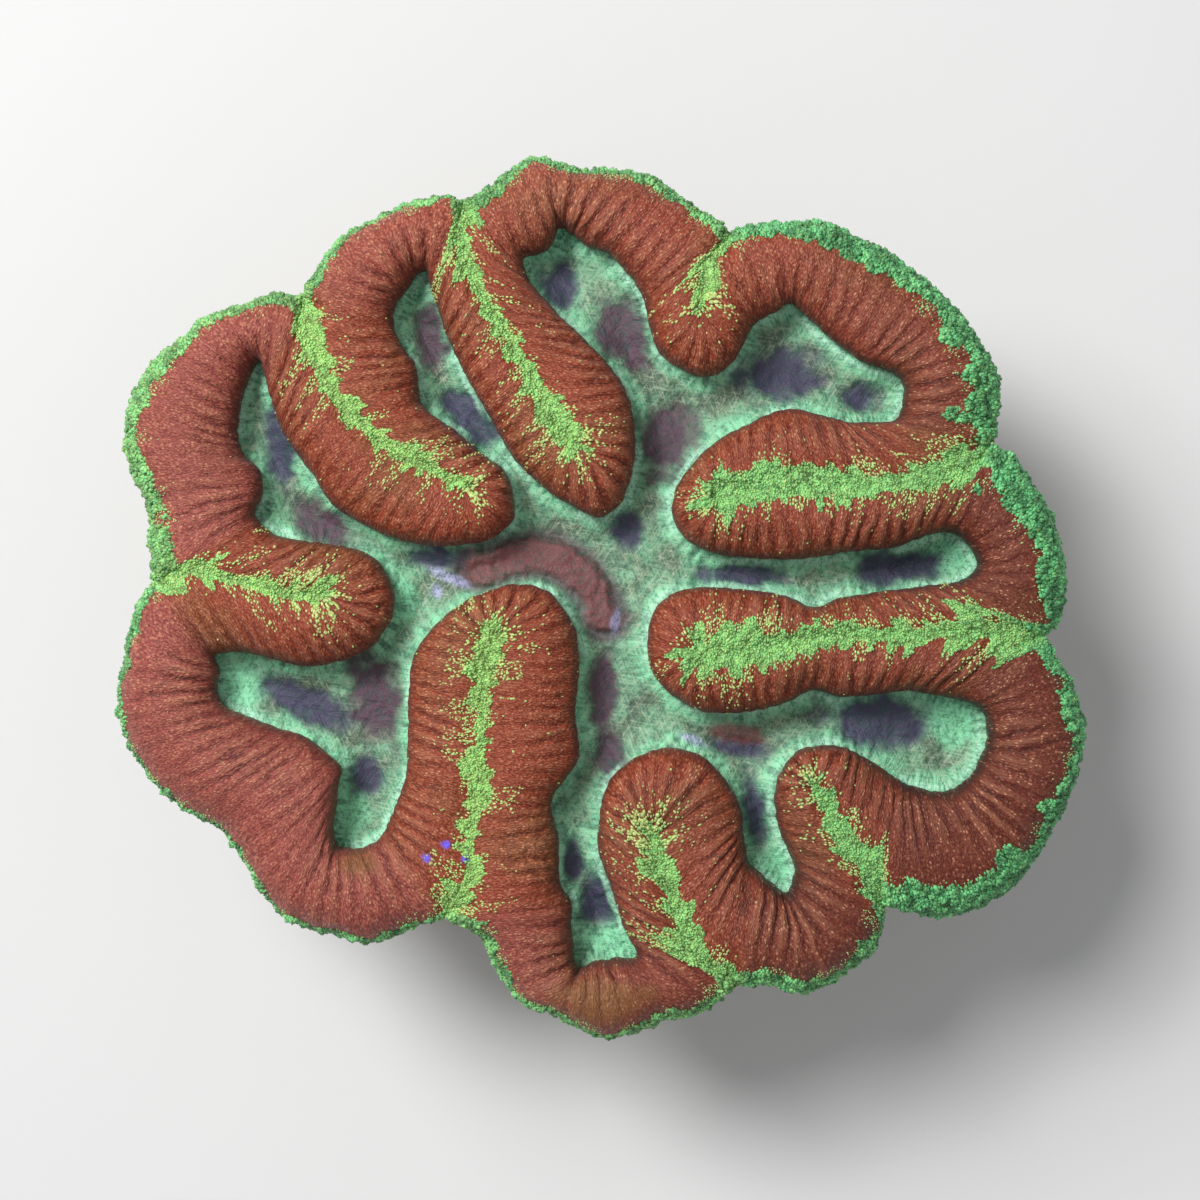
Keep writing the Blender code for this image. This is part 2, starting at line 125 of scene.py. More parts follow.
# A lobe's "rim" and the flesh's "edge" across from it go point by point. "green" is the
# width of its green rim at its start, middle and end.
LOBES = [
    {"rim": [(-69.5, 8), (-70.5, 14.5), (-73, 20), (-74, 26), (-73, 31), (-70.5, 36), (-66.5, 40),
             (-61.5, 43.5), (-56, 45.5), (-50.5, 47)],
     "edge": [(-53.5, 14), (-52.5, 16.5), (-53, 20), (-55.5, 22.5), (-56.5, 26), (-56, 30),
              (-55, 33.5), (-54, 36), (-53, 37), (-52.5, 35.5)], "green": (3.6, 2.9, 1.6),
     "lime": 0.42},
    {"rim": [(-44, 51), (-41.5, 55), (-37.5, 58), (-32, 60.5), (-26.5, 62)],
     "edge": [(-31.5, 46), (-30.5, 47.5), (-29.5, 49), (-28.5, 50.5), (-27, 51)],
     "green": (1.4, 0.4, 1.4), "lime": 0.35},
    {"rim": [(-18, 63.5), (-15, 65.5), (-11.5, 68), (-6.5, 68), (-1, 67), (4.5, 67), (8.5, 65),
             (12.5, 62.5), (16, 59.5)],
     "edge": [(-11.5, 53), (-9.5, 53.5), (-7.5, 55), (-6.5, 58), (-4.5, 57), (-2, 55), (1, 54),
              (3.5, 51.5), (5.5, 49)], "green": (1.6, 0.9, 1.8), "lime": 0.28},
    {"rim": [(23, 57.5), (28.5, 58.5), (35.5, 58.5), (40.5, 56), (46, 53.5), (50.5, 50), (54.5, 46),
             (58, 42), (60.5, 37.5), (61.5, 32), (61, 27.5)],
     "edge": [(27.5, 45), (29.5, 46), (31.5, 44.5), (34, 42), (37, 39.5), (40.5, 37), (43, 36),
              (45.5, 35), (47, 33.5), (47, 30.5), (46, 28)], "green": (1.8, 4.2, 6.0), "lime": 0.08},
    {"rim": [(64.5, 21.5), (67.5, 17.5), (70.5, 13), (72, 8), (72.5, 2), (71.5, -2.5)],
     "edge": [(55.5, 10), (57, 8.5), (58, 7), (58.5, 5.5), (57.5, 4), (56, 3)],
     "green": (6.5, 6.2, 5.0), "lime": 0.0},
    {"rim": [(71, -9), (73.5, -13.5), (75, -18.5), (75, -24), (74, -29.5), (71.5, -34.5), (68.5, -39),
             (64.5, -44.5), (59.5, -47.5), (53.5, -49), (48.5, -48)],
     "edge": [(57, -16), (59, -17), (60, -19.5), (60, -22.5), (59, -24.5), (58, -26.5), (56, -28.5),
              (54, -29.5), (51.5, -29.5), (49.5, -29), (47.5, -28.5)], "green": (2.2, 3.6, 5.0),
     "lime": 0.03},
    {"rim": [(43.5, -51.5), (40, -56.5), (32.5, -60.5), (26.5, -59.5)],
     "edge": [(30, -43), (29.5, -45), (28.5, -45.5), (26.5, -44)], "green": (2.6, 1.8, 2.2),
     "lime": 0.18},
    {"rim": [(18, -62), (14, -64.5), (9, -65.5), (5, -67), (0.5, -68), (-4, -65.5), (-8.5, -63.5),
             (-13.5, -61), (-16, -56), (-18, -52)],
     "edge": [(5.5, -54.5), (5, -55.5), (2.5, -55.5), (1, -56), (-0.5, -56), (-2.5, -57),
              (-3.5, -57.5), (-4, -55.5), (-4, -53), (-4.5, -50)], "green": (1.6, 0.9, 1.2),
     "lime": 0.33},
    {"rim": [(-27.5, -49.5), (-31.5, -51.5), (-36, -53), (-41, -52), (-45.5, -51), (-50, -48.5),
             (-53, -45), (-55.5, -40.5), (-59, -35.5), (-63.5, -33), (-68.5, -29), (-72, -24.5),
             (-75, -19), (-75, -14), (-74.5, -9.5), (-72, -2)],
     "edge": [(-35, -37.5), (-37.5, -38.5), (-39, -38.5), (-41, -38), (-41.5, -35), (-41, -32),
              (-40.5, -28.5), (-40, -26), (-42.5, -23.5), (-46, -21), (-50.5, -19.5), (-54.5, -18),
              (-58, -16.5), (-59.5, -14), (-59, -11), (-59.5, -9.5)], "green": (1.0, 0.3, 1.2),
     "lime": 0.23},
]

# Stains of the valley floor: centre, half axes and turn in degrees.
STAINS = {
    "mint": [(53.8, 6.6, 4.4, 3.0, 0), (54.5, -19, 4.6, 5.0, 10), (-30.5, 0, 2.2, 3.8, 0),
             (29, 47, 6.0, 3.4, 0), (-56, -13.5, 4.2, 3.6, 0), (-39, -33, 3.6, 5.0, 0),
             (-50, 33, 3.0, 5.4, 0), (-8, 56, 5.4, 3.6, 0), (27.5, -42, 2.4, 5.0, 0),
             (2, -53, 5.2, 3.0, 0), (-29.5, 48, 3.2, 3.4, 0), (42, 38, 5.0, 3.0, -30)],
    "slate": [(-50.0, 24, 2.6, 8.0, 8), (-20, 28, 3.0, 7.0, 35), (-6.5, 49, 3.4, 5.2, -10),
              (28, 35, 7.6, 4.4, 8), (40.5, 31.5, 3.6, 2.8, 0), (22.5, 3.8, 8.0, 2.2, -3),
              (46.5, 5.2, 8.0, 3.2, 4), (43.5, -18.7, 9.4, 4.4, -4), (24, -33, 2.3, 6.4, 12),
              (-25.5, 7, 5.4, 2.2, -8), (4.5, 11.5, 3.0, 3.2, 0), (-46.5, -15.6, 8.6, 3.4, -24),
              (-36, -27.5, 3.2, 3.4, 0), (-0.4, -46.5, 3.2, 5.4, 0), (-4.2, -40.5, 1.7, 4.0, 0),
              (22, -23, 5.4, 1.8, -10)],
    "plum": [(-42.5, 11.5, 7.0, 3.4, -25), (-26.5, 41, 3.0, 6.2, 10), (3.6, 42, 4.4, 6.6, 25),
             (10.5, 25, 5.0, 6.6, -10), (0.6, -14, 2.6, 7.0, -6), (1.6, -24, 2.8, 6.4, 12),
             (-35, -15, 4.4, 8.6, 14)],
    "maroon": [(21, -20.6, 5.2, 1.9, -12)],
    "lavender": [(-23.5, 3.4, 3.6, 1.1, -24), (-25.5, 1.4, 1.2, 1.6, 0), (2.4, -3.2, 0.9, 2.6, -10),
                 (14, -21.5, 2.6, 0.9, -16)],
}
CRESCENT = [(-18.5, 4.8), (-14.5, 6.4), (-9.5, 7.0), (-5.5, 5.8), (-2.5, 3.2), (-0.5, 0),
            (1, -3)]        # raised maroon ridge round the end of the longest fold
GOLDEN = [(-37.5, -41, 4.5, 3.2), (0.5, -61.8, 13.0, 5.2)]      # golden flesh: centre, half axes
VIOLET = [(-26.5, -39.5), (-23.5, -37.4), (-20.6, -39.6)]       # small violet specks

# How strongly each kind of stain shows, in the order in which they lie over one another.
FADE = {"mint": 0.9, "slate": 0.97, "plum": 0.97, "maroon": 0.85, "lavender": 0.6}

# Wall under the rim, as in the solid: share of the rim's height, scale, and how far it is
# rounded towards the oval of the flat cut, whose half axes come after it.
WALL = [(1.0, 0.955, 0.0), (0.93, 0.95, 0.0), (0.86, 0.92, 0.0), (0.64, 0.87, 0.15),
        (0.34, 0.76, 0.35), (0.10, 0.68, 0.5), (0.0, 0.66, 0.55)]
BASE_AXES = (71.0, 64.0)
QUARTERS = ("north_west", "north_east", "south_east", "south_west")
PLAN_STEP = 0.33        # mm between the plan's points


def linear(code):
    """Linear RGB of an sRGB hex colour."""
    parts = [int(code[k:k + 2], 16) / 255 for k in (1, 3, 5)]
    return tuple(c / 12.92 if c < 0.04045 else ((c + 0.055) / 1.055) ** 2.4 for c in parts)


def size(name, default):
    """A length property, shown in the scene's units."""
    return FloatProperty(name=name, default=default, unit="LENGTH", precision=5)


def tint(name, code):
    """A colour property from an sRGB hex value."""
    return FloatVectorProperty(name=name, default=linear(code), size=3, min=0.0, max=1.0,
                               subtype="COLOR")


class ColonySizes(bpy.types.PropertyGroup):
    """Sizes of the colony."""
    crest: size("Height of the band's crest at the middle", 60 * MM)
    dome: size("How much lower the crest lies at the far rim", 6 * MM)
    rim_drop: size("From the crest down to a lobe's widest line", 8 * MM)
    lip: size("How far the flesh hangs below that line", 5 * MM)
    furrow: size("Depth of the furrow along a fold", 0.7 * MM)
    valley: size("From the crest down to the floor beside the flesh", 9 * MM)
    dish: size("Further fall of the floor away from the flesh", 1.5 * MM)
    rib_spacing: size("Distance between the band's cross ribs", 2.5 * MM)
    rib_height: size("Height of the cross ribs", 0.5 * MM)
    tuft_height: size("Height of the rim's tufts of papillae", 1.0 * MM)
    papilla: size("Width of a green papilla", 0.42 * MM)
    costa: size("Distance between the wall's ribs", 2.6 * MM)


class ColonyColours(bpy.types.PropertyGroup):
    """Colours of the colony."""
    flesh: tint("Brick red flesh", "#86361E")
    flesh_brown: tint("Browner patches of the flesh", "#7E4222")
    flesh_pink: tint("Pinker flesh of the lobes", "#8C423C")
    # painted shade: this colour darkens the flesh's seams and creases, its edge by the valley and its
    # eastern side
    flesh_painted_shade: tint("Flesh in the creases", "#3A150D")
    # pale specks and loose papillae have this colour of their own; on ridge and rib tops it is a
    # painted highlight
    flesh_pale_and_highlight: tint("Tops of the skin ridges", "#BC8262")
    gold: tint("Golden brown patches", "#76562C")
    emerald: tint("Green of the rim", "#6CCC84")
    lime: tint("Yellow-green of the folds", "#A8DC74")
    cream: tint("Loose papillae and tips", "#C9CC84")
    # painted shade: the two colours below darken the crevices between papillae and their roots
    forest: tint("Crevices between the rim's papillae", "#2A6438")
    olive: tint("Crevices between the folds' papillae", "#5E6E32")
    jade: tint("Middle of the valley floor", "#586A54")
    foam: tint("Pale line right beside the flesh", "#A6DCBC")
    mint: tint("Valley floor beside the flesh", "#84D4A4")
    # painted shade: this colour darkens the floor's furrows and the low parts of its felt
    teal_shade: tint("Furrows of the valley floor", "#22463C")
    fibre: tint("Pale fibres of the valley floor", "#A0AE94")
    slate: tint("Blue-grey stains", "#3A3150")
    plum: tint("Purple stains", "#4E3042")
    maroon: tint("Raised crescent", "#743A3C")
    lavender: tint("Pale violet wisps", "#B4B2E0")
    violet: tint("Small specks", "#6A5AE0")
    bone: tint("Bare aragonite", "#D2C8B4")
    crust: tint("Coralline crust on the skeleton", "#A07884")
    # painted shade: this colour darkens the grooves between the wall's ribs
    groove_shade: tint("Grooves between the wall's ribs", "#595245")
    pore: tint("Pores of the wall", "#6F6959")


# ---------------------------------------------------------------------------
# Plain mathematics
# ---------------------------------------------------------------------------
def smooth(low, high, value):
    """0 below low, 1 above high, an S-curve between."""
    t = np.clip((value - low) / (high - low), 0, 1)
    return t * t * (3 - 2 * t)


def hashed(cells, seed):
    """A fixed pseudo-random number 0 to 1 for each row of whole numbers."""
    mixed = (cells * np.array([374761393, 668265263, 2147483647][:cells.shape[-1]])).sum(-1)
    mixed = (mixed + seed * 1442695041) & 0xFFFFFFFF
    mixed = ((mixed ^ (mixed >> 13)) * 1274126177) & 0xFFFFFFFF
    mixed = ((mixed ^ (mixed >> 16)) * 2246822519) & 0xFFFFFFFF
    return ((mixed ^ (mixed >> 15)) & 0xFFFFFF) / float(0xFFFFFF)


def noise(points, scale, seed=0):
    """Smooth noise 0 to 1: lattice values one scale apart, blended by S-curves."""
    p = np.asarray(points, float) / scale
    base = np.floor(p).astype(np.int64)
    f = p - base
    f = f * f * (3 - 2 * f)
    total = 0.0
    for corner in np.ndindex(*(2,) * p.shape[-1]):
        weight = np.prod(np.where(corner, f, 1 - f), axis=-1)
        total = total + weight * hashed(base + np.array(corner), seed)
    return total


def fractal(points, scale, seed=0, octaves=3):
    """Noise summed over octaves, each half as large and half as strong."""
    total, weight = 0.0, 0.0
    for k in range(octaves):
        total = total + noise(points, scale / 2 ** k, seed + 17 * k) / 2 ** k
        weight += 1 / 2 ** k
    return total / weight


def tufts(points, scale, seed=0):
    """Rounded tufts: 1 over the nearest of randomly moved lattice points, 0 between them."""
    p = np.asarray(points, float) / scale
    base = np.floor(p).astype(np.int64)
    near = np.full(p.shape[:-1], 9.0)
    for corner in np.ndindex(3, 3, 3):
        cell = base + np.array(corner) - 1
        gap = sum((cell[..., k] + hashed(cell, seed + k) - p[..., k]) ** 2 for k in range(3))
        near = np.minimum(near, gap)
    return 1 - smooth(0.0, 0.85, np.sqrt(near))


def spline(points, closed, counts):
    """Catmull-Rom curve; counts gives how many points start each interval."""
    p = np.asarray(points, float)
    n = len(p)
    if closed:
        before, start, end, after = (p[(np.arange(n) + k) % n] for k in (-1, 0, 1, 2))
    else:
        full = np.concatenate([2 * p[:1] - p[1:2], p, 2 * p[-1:] - p[-2:-1]])
        before, start, end, after = (full[k:n - 1 + k] for k in (0, 1, 2, 3))
    which = np.repeat(np.arange(len(start)), counts)
    t = np.concatenate([np.arange(c) / c for c in counts])[:, None]
    b, s, e, a = before[which], start[which], end[which], after[which]
    return 0.5 * (2 * s + (e - b) * t + (2 * b - 5 * s + 4 * e - a) * t ** 2
                  + (3 * s - b - 3 * e + a) * t ** 3)


def unit(vectors):
    """The vectors at length one."""
    return vectors / np.maximum(np.linalg.norm(vectors, axis=-1, keepdims=True), 1e-9)


def walked(line):
    """Distance walked from the line's start to each of its points."""
    return np.concatenate([[0], np.cumsum(np.linalg.norm(np.diff(line, axis=0), axis=1))])


def blur(values, passes):
    """Running average round the closed line."""
    for _ in range(passes):
        values = (np.roll(values, 1, axis=0) + 2 * values + np.roll(values, -1, axis=0)) / 4
    return values


def edge_distance(points, line, chunk=3000):
    """Distance to, and index of, the nearest point of a dense line."""
    near, index = [], []
    for k in range(0, len(points), chunk):
        x, y = points[k:k + chunk, :1], points[k:k + chunk, 1:]
        gap = (x - line[:, 0]) ** 2 + (y - line[:, 1]) ** 2
        index.append(gap.argmin(1))
        near.append(np.sqrt(gap.min(1)))
    return np.concatenate(near), np.concatenate(index)


def inside(points, line):
    """Whether each point lies inside the closed line, by counting crossings."""
    start, end = line, np.roll(line, -1, axis=0)
    result = np.zeros(len(points), bool)
    for (x0, y0), (x1, y1) in zip(start, end):
        if y0 != y1:
            cross = (y0 > points[:, 1]) != (y1 > points[:, 1])
            result ^= cross & (points[:, 0] < (x1 - x0) * (points[:, 1] - y0) / (y1 - y0) + x0)
    return result


# ---------------------------------------------------------------------------
# Plan
# ---------------------------------------------------------------------------
def dense_plan():
    """The plan walked clockwise in steps of about PLAN_STEP.

    Returns outer and inner points and, for each, whether it is in a fold (0 to 1), its
    distance to the nearest fold's mouth, the green width and the lean to lime.
    """
    inner_key, outer_key = [], []
    for fold, lobe in zip(FOLDS, LOBES):
        mid = fold["mid"]
        inner_key += [*fold["a"], *fold["tip"], *fold["b"][::-1], *lobe["edge"]]
        outer_key += [*mid[:-1], *[mid[-1]] * len(fold["tip"]), *mid[-2::-1], *lobe["rim"]]
    inner_key, outer_key = np.array(inner_key, float), np.array(outer_key, float)
    span = np.maximum(*(np.linalg.norm(np.roll(key, -1, 0) - key, axis=1)
                        for key in (inner_key, outer_key)))
    counts = np.maximum(2, np.round(span / PLAN_STEP)).astype(int)
    inner = spline(inner_key, True, counts)
    outer, green, lime, in_fold = [], [], [], []
    for number, (fold, lobe) in enumerate(zip(FOLDS, LOBES)):
        mid, rim = fold["mid"], lobe["rim"]
        following = FOLDS[(number + 1) % len(FOLDS)]["mid"][0]
        way = len(mid) - 1
        way_in, round_tip, way_out, edge, counts = np.split(
            counts, np.cumsum([way, len(fold["tip"]) - 1, way, len(rim) + 1]))
        outer += [spline(mid, False, way_in), np.repeat([mid[-1]], round_tip.sum(), axis=0),
                  spline(mid[::-1], False, way_out),
                  spline([mid[0], *rim, following], False, edge)]
        n_in, n_tip, n_out, n_edge = (c.sum() for c in (way_in, round_tip, way_out, edge))
        # along a fold the width at the mouth, twice the one on its way, and the one at its end
        at, spread = [0, 0.25, 0.6, 0.95], [fold["green"][k] for k in (0, 1, 1, 2)]
        green += [np.interp(np.linspace(0, 1, n_in), at, spread),
                  np.full(n_tip, fold["green"][2]),
                  np.interp(np.linspace(1, 0, n_out), at, spread),
                  np.interp(np.linspace(0, 2, n_edge), [0, 1, 2], lobe["green"])]
        n_fold = n_in + n_tip + n_out
        lime += [np.full(n_fold, fold["lime"]), np.full(n_edge, lobe["lime"])]
        in_fold += [np.ones(n_fold), np.zeros(n_edge)]
    outer, in_fold = np.concatenate(outer), np.concatenate(in_fold)
    middle = (outer.min(0) + outer.max(0)) / 2
    mouths = np.array([fold["mid"][0] for fold in FOLDS], float)
    to_mouth = np.linalg.norm(outer[:, None] - mouths[None], axis=2).min(1)
    # ragged rim: small scallops, none on the folds' middle lines
    ragged = (fractal(outer, 3.4, 5, 2) - 0.5) * 1.2
    outer = outer + unit(outer - middle) * (ragged * (1 - in_fold) * smooth(0.5, 3, to_mouth))[:, None]
    return {"outer": outer - middle, "inner": inner - middle, "fold": in_fold,
            "mouth": to_mouth, "green": blur(np.concatenate(green), 24),
            "lime": blur(np.concatenate(lime), 40), "middle": middle}


def crest_height(plan, sizes):
    """Height of the gently domed crest over plan points, in mm."""
    reach = np.clip((plan ** 2).sum(-1) / 75.0 ** 2, 0, 1.2)
    return (sizes.crest - sizes.dome * reach) / MM


# The band's cross-section runs from under the lip over the crest to under the valley's
# edge, in four stretches. Each is given by the parameter that runs along it.
LIP = np.linspace(1, 0, 13, endpoint=False)
RISE = np.linspace(pi / 2, 0, 22, endpoint=False)
FALL = np.linspace(0, pi / 2, 30)
TUCK = np.linspace(0, 1, 7)[1:]
CREST_FOLD, CREST_LOBE = 0.34, 0.44     # where the crest lies between outer and inner line
ROUNDED = 0.72          # share of the valley's depth that the flesh's rounded side takes
MOUTH_SHARE = 0.32      # share of the rim's drop that is left at a fold's mouth
MOUTH_FOLD, MOUTH_LOBE = 3.0, 6.0       # mm over which the mouth's height fades
LIP_PULL, TUCK_PULL = 3.2, 1.2          # mm that lip and tuck draw back
TUCK_DEEPER = 3.0       # mm that the tuck reaches below the valley's depth


def cross_section(plan, sizes):
    """The smooth band: share of the way to the inner line, hang of the lip, and points.

    The cross-section is a quarter ellipse from the crest down to the valley edge, tucked
    back a little under it, and one from the crest out to the rim, which hangs below as a
    lip. In a fold the outer part falls only to a shallow furrow.
    """
    outer, inner, fold = plan["outer"], plan["inner"], plan["fold"]
    rim_drop, valley = sizes.rim_drop / MM, sizes.valley / MM
    # two lobes fuse at a fold's mouth, so that the rim lies higher there
    furrow = sizes.furrow / MM * (0.6 + 0.8 * noise(outer, 9, 3))
    at_mouth = MOUTH_SHARE * rim_drop
    drop = np.where(
        fold > 0.5,
        furrow + (at_mouth - furrow) * np.exp(-(plan["mouth"] / MOUTH_FOLD) ** 2),
        rim_drop + (at_mouth - rim_drop) * np.exp(-(plan["mouth"] / MOUTH_LOBE) ** 2))
    hang = (sizes.lip / MM + 0.6 * (rim_drop - drop) * (1 - fold))[:, None]
    drop = drop[:, None]
    crest_at = blur(np.where(fold > 0.5, CREST_FOLD, CREST_LOBE), 35)[:, None]
    gentle = blur(fold, 8)[:, None]
    level = 1 - RISE / (pi / 2)
    each = np.ones((len(outer), 1))
    share = np.hstack([
        each * LIP * 0,
        crest_at * (gentle * level + (1 - gentle) * (1 - np.sin(RISE) ** 0.9)),
        crest_at + (1 - crest_at) * np.sin(FALL) ** 0.86,
        each * np.ones(len(TUCK))])
    height = np.hstack([
        -drop - LIP * hang,
        -drop * (gentle * (1 - smooth(0, 1, level)) + (1 - gentle) * (1 - np.cos(RISE) ** 1.1)),
        each * (-(valley * ROUNDED) * (1 - np.cos(FALL))),
        each * (-(valley * ROUNDED) - TUCK * (valley * (1 - ROUNDED) + TUCK_DEEPER))])
    # lip draws in below the rim, tuck draws back under the flesh
    pull = np.zeros(share.shape)
    pull[:, :len(LIP)] = (1 - np.cos(LIP * pi / 2)) * LIP_PULL * (1 - fold)[:, None]
    pull[:, -len(TUCK):] = -(1 - np.cos(TUCK * pi / 2)) * TUCK_PULL
    flat = outer[:, None] + (inner - outer)[:, None] * share[..., None]
    flat = flat + plan["along"][:, None] * pull[..., None]
    points = np.concatenate([flat, (crest_height(flat, sizes) + height)[..., None]], axis=2)
    return share, hang, points


def band_places(plan, flat):
    """Note how far along and across the band each point lies; return how it fans out.

    "here" holds the distance walked along the middle of the band and the one from the
    outer line, and "across" is the latter measured square to that line.
    """
    outer, inner, along = plan["outer"], plan["inner"], plan["along"]
    # down the lip the distance from the rim's line counts on below it
    across = plan["share"] * np.linalg.norm(inner - outer, axis=1)[:, None]
    across[:, :len(LIP)] = -LIP * plan["hang"]
    line = outer * 0.3 + inner * 0.7
    walk = walked(line)
    pitch = np.linalg.norm(np.roll(flat, -1, 0) - flat, axis=2)
    base_pitch = np.linalg.norm(np.roll(line, -1, 0) - line, axis=1)[:, None] + 1e-6
    here = np.stack([np.broadcast_to(walk[:, None], across.shape), across], axis=2)
    # where the rows lean, the true distance from the outer line is shorter
    ahead = np.roll(outer, -3, 0) - np.roll(outer, 3, 0)
    length = np.linalg.norm(ahead, axis=1)
    lean = np.abs(ahead[:, 0] * along[:, 1] - ahead[:, 1] * along[:, 0])
    lean = lean / np.maximum(length, 1e-6)
    lean = blur(np.where(length > 0.5, np.clip(lean, 0.3, 1), 1.0), 12)[:, None]
    plan.update(here=here, across=np.where(across > 0, across * lean, across), walk=walk)
    return blur(pitch / base_pitch, 16)


PLAN = {}       # worked out by the first piece that asks for it, then kept


def flesh_surface(sizes):
    """The band as a grid: along the plan, and over the cross-section.

    Ribs, soft lumps and, where the flesh is green, tufts move each point of the smooth
    band along the surface's normal.
    """
    if PLAN:
        return PLAN
    plan = dense_plan()
    plan["along"] = unit(plan["inner"] - plan["outer"])
    share, plan["hang"], points = cross_section(plan, sizes)
    plan["share"] = share
    stretch = band_places(plan, points[..., :2])
    here = plan["here"]
    green = plan["green_mask"] = green_mask(plan)

    # ribs run across the band; where the band fans out a second set fills the gaps
    wobble = (noise(here / [1, 3.5], 4.5, 11) - 0.5) * 1.2 + (noise(here, 1.5, 12) - 0.5) * 0.25
    turn = pi * (here[..., 0] / (sizes.rib_spacing / MM) + wobble)
    coarse = np.abs(np.sin(turn)) ** 0.8
    fine = np.abs(np.sin(2 * turn + 0.9)) ** 0.8
    split = smooth(1.35, 1.8, stretch)
    bolster = coarse * (1 - split) + split * np.minimum(coarse * 0.35 + 0.65, 1) * fine
    minor = np.abs(np.sin(3.1 * turn + 2.2 * noise(here / [1, 3], 2.5, 13))) ** 0.9
    # they fade out under the lip, at the valley's edge and on a fold's middle line
    fold = blur(plan["fold"], 6)[:, None]
    zone = (0.25 + 0.75 * smooth(0.0, 0.25, share)) * (0.5 + 0.5 * smooth(0.3, 0.7, share))
    zone = zone * (1 - 0.7 * smooth(0.82, 0.97, share))
    zone = zone * (1 - fold * (1 - smooth(0, 1.5, here[..., 1])))
    strength = 0.3 + 1.5 * fractal(here / [1, 3], 7.0, 21, 2) ** 1.5
    swell = (noise(here / [1, 4], 6.5, 22) - 0.5) * 0.8 * zone
    lumps = (fractal(points, 9.0, 31, 2) - 0.5) * 1.0 + (fractal(points, 1.6, 32, 2) - 0.5) * 0.3
    move = ((bolster - 0.62) * strength * zone * sizes.rib_height / MM
            + (minor - 0.6) * 0.16 * strength * zone + swell + lumps)
    grown = green > 0.02
    lift = np.zeros(share.shape)
    lift[grown] = tufts(points[grown], 1.35, 33) * 0.75 + tufts(points[grown], 0.75, 34) * 0.4
    move = move + (lift - 0.35) * green * sizes.tuft_height / MM * (1 - 0.6 * fold)
    move[:, :3] *= 0.2
    # along a fold's middle line both sides move straight up, so that they stay joined
    upright = (fold * (1 - smooth(0.0, 1.3, here[..., 1])))[..., None]
    normals = grid_normals(points) * (1 - upright) + np.array([0.0, 0.0, 1.0]) * upright
    points = points + normals * move[..., None]
    # crease marks the painted shade between the ribs, rib_top the painted highlight on their tops
    crease = (1 - smooth(0.0, 0.55, bolster)) * np.clip(strength, 0, 1.2) * zone
    PLAN.update(plan, points=points, normals=grid_normals(points), lift=lift,
                strength=strength * zone * (1 - 0.5 * split),
                rib_top=smooth(0.6, 0.98, bolster) * strength * zone,
                crease=crease * (1 - 0.45 * split))
    return PLAN


def grid_normals(points):
    """Unit normals of a closed grid, from the cross product of its two directions."""
    normal = np.cross(np.gradient(points, axis=1), np.roll(points, -1, 0) - np.roll(points, 1, 0))
    flat = np.linalg.norm(normal, axis=2) < 1e-4
    normal = unit(normal)
    normal[flat] = (0, 0, 1)
    return normal


def green_mask(plan):
    """How green the flesh is: full near the outer line, ragged and spurred further in."""
    here, fold = plan["here"], plan["fold"][:, None]
    rag = fractal(here / [1, 1.6], 2.4, 41, 3)
    spur = smooth(0.5, 0.85, noise(here[..., :1] * [1, 0], 1.3, 43)) * 1.5
    reach = plan["green"][:, None] * (0.72 + 1.9 * (rag - 0.5))
    reach = np.maximum(reach, 0.6 * fold) + spur * (0.35 + 0.65 * fold)
    above = 1 - smooth(-0.35, 0.35, plan["across"] - reach)
    # down the lip the green gives way to flesh
    fade = 1 - smooth(1.2, 4.2, -plan["across"] + (rag - 0.5) * 4)
    fade = fade * smooth(0.0, 1.2, plan["green"])[:, None]
    return above * np.where(plan["across"] < 0, fade, 1.0)


# ---------------------------------------------------------------------------
# Meshes
# ---------------------------------------------------------------------------
def new_mesh(name, points, quads, attributes=None, uv=None, normals=None):
    """An object from whole arrays; points in mm."""
    mesh = bpy.data.meshes.new(name)
    mesh.vertices.add(len(points))
    mesh.vertices.foreach_set("co", (np.asarray(points) * MM).astype(np.float32).ravel())
    sides = quads.shape[1]
    mesh.loops.add(quads.size)
    mesh.loops.foreach_set("vertex_index", quads.astype(np.int32).ravel())
    mesh.polygons.add(len(quads))
    mesh.polygons.foreach_set("loop_start", np.arange(0, quads.size, sides, dtype=np.int32))
    mesh.update(calc_edges=True)
    mesh.shade_smooth()
    for key, values in (attributes or {}).items():
        layer = mesh.attributes.new(key, "FLOAT", "POINT")
        layer.data.foreach_set("value", np.asarray(values, np.float32).ravel())
    if uv is not None:
        layer = mesh.uv_layers.new(name="grain")
        layer.data.foreach_set("uv", np.asarray(uv, np.float32)[quads.ravel()].ravel())
    if normals is not None:
        mesh.normals_split_custom_set_from_vertices(np.asarray(normals, float).tolist())
    if mesh.validate():
        raise RuntimeError(f"{name} has faces that are not valid")
    thing = bpy.data.objects.new(name, mesh)
    bpy.context.scene.collection.objects.link(thing)
    return thing


def grid_quads(rows, columns, closed):
    """Quad corners of a grid, joined end to start if closed."""
    last = rows if closed else rows - 1
    i, j = np.meshgrid(np.arange(last), np.arange(columns - 1), indexing="ij")
    k = (i + 1) % rows
    return np.stack([i * columns + j, i * columns + j + 1, k * columns + j + 1,
                     k * columns + j], axis=2).reshape(-1, 4)


def finish_piece(thing, material, *nodes):
    """Give the piece its material and body, and hide the solid's nodes that it stands for."""
    thing.data.materials.append(material)
    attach(thing, "root")
    if nodes:
        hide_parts(*nodes)
    return thing


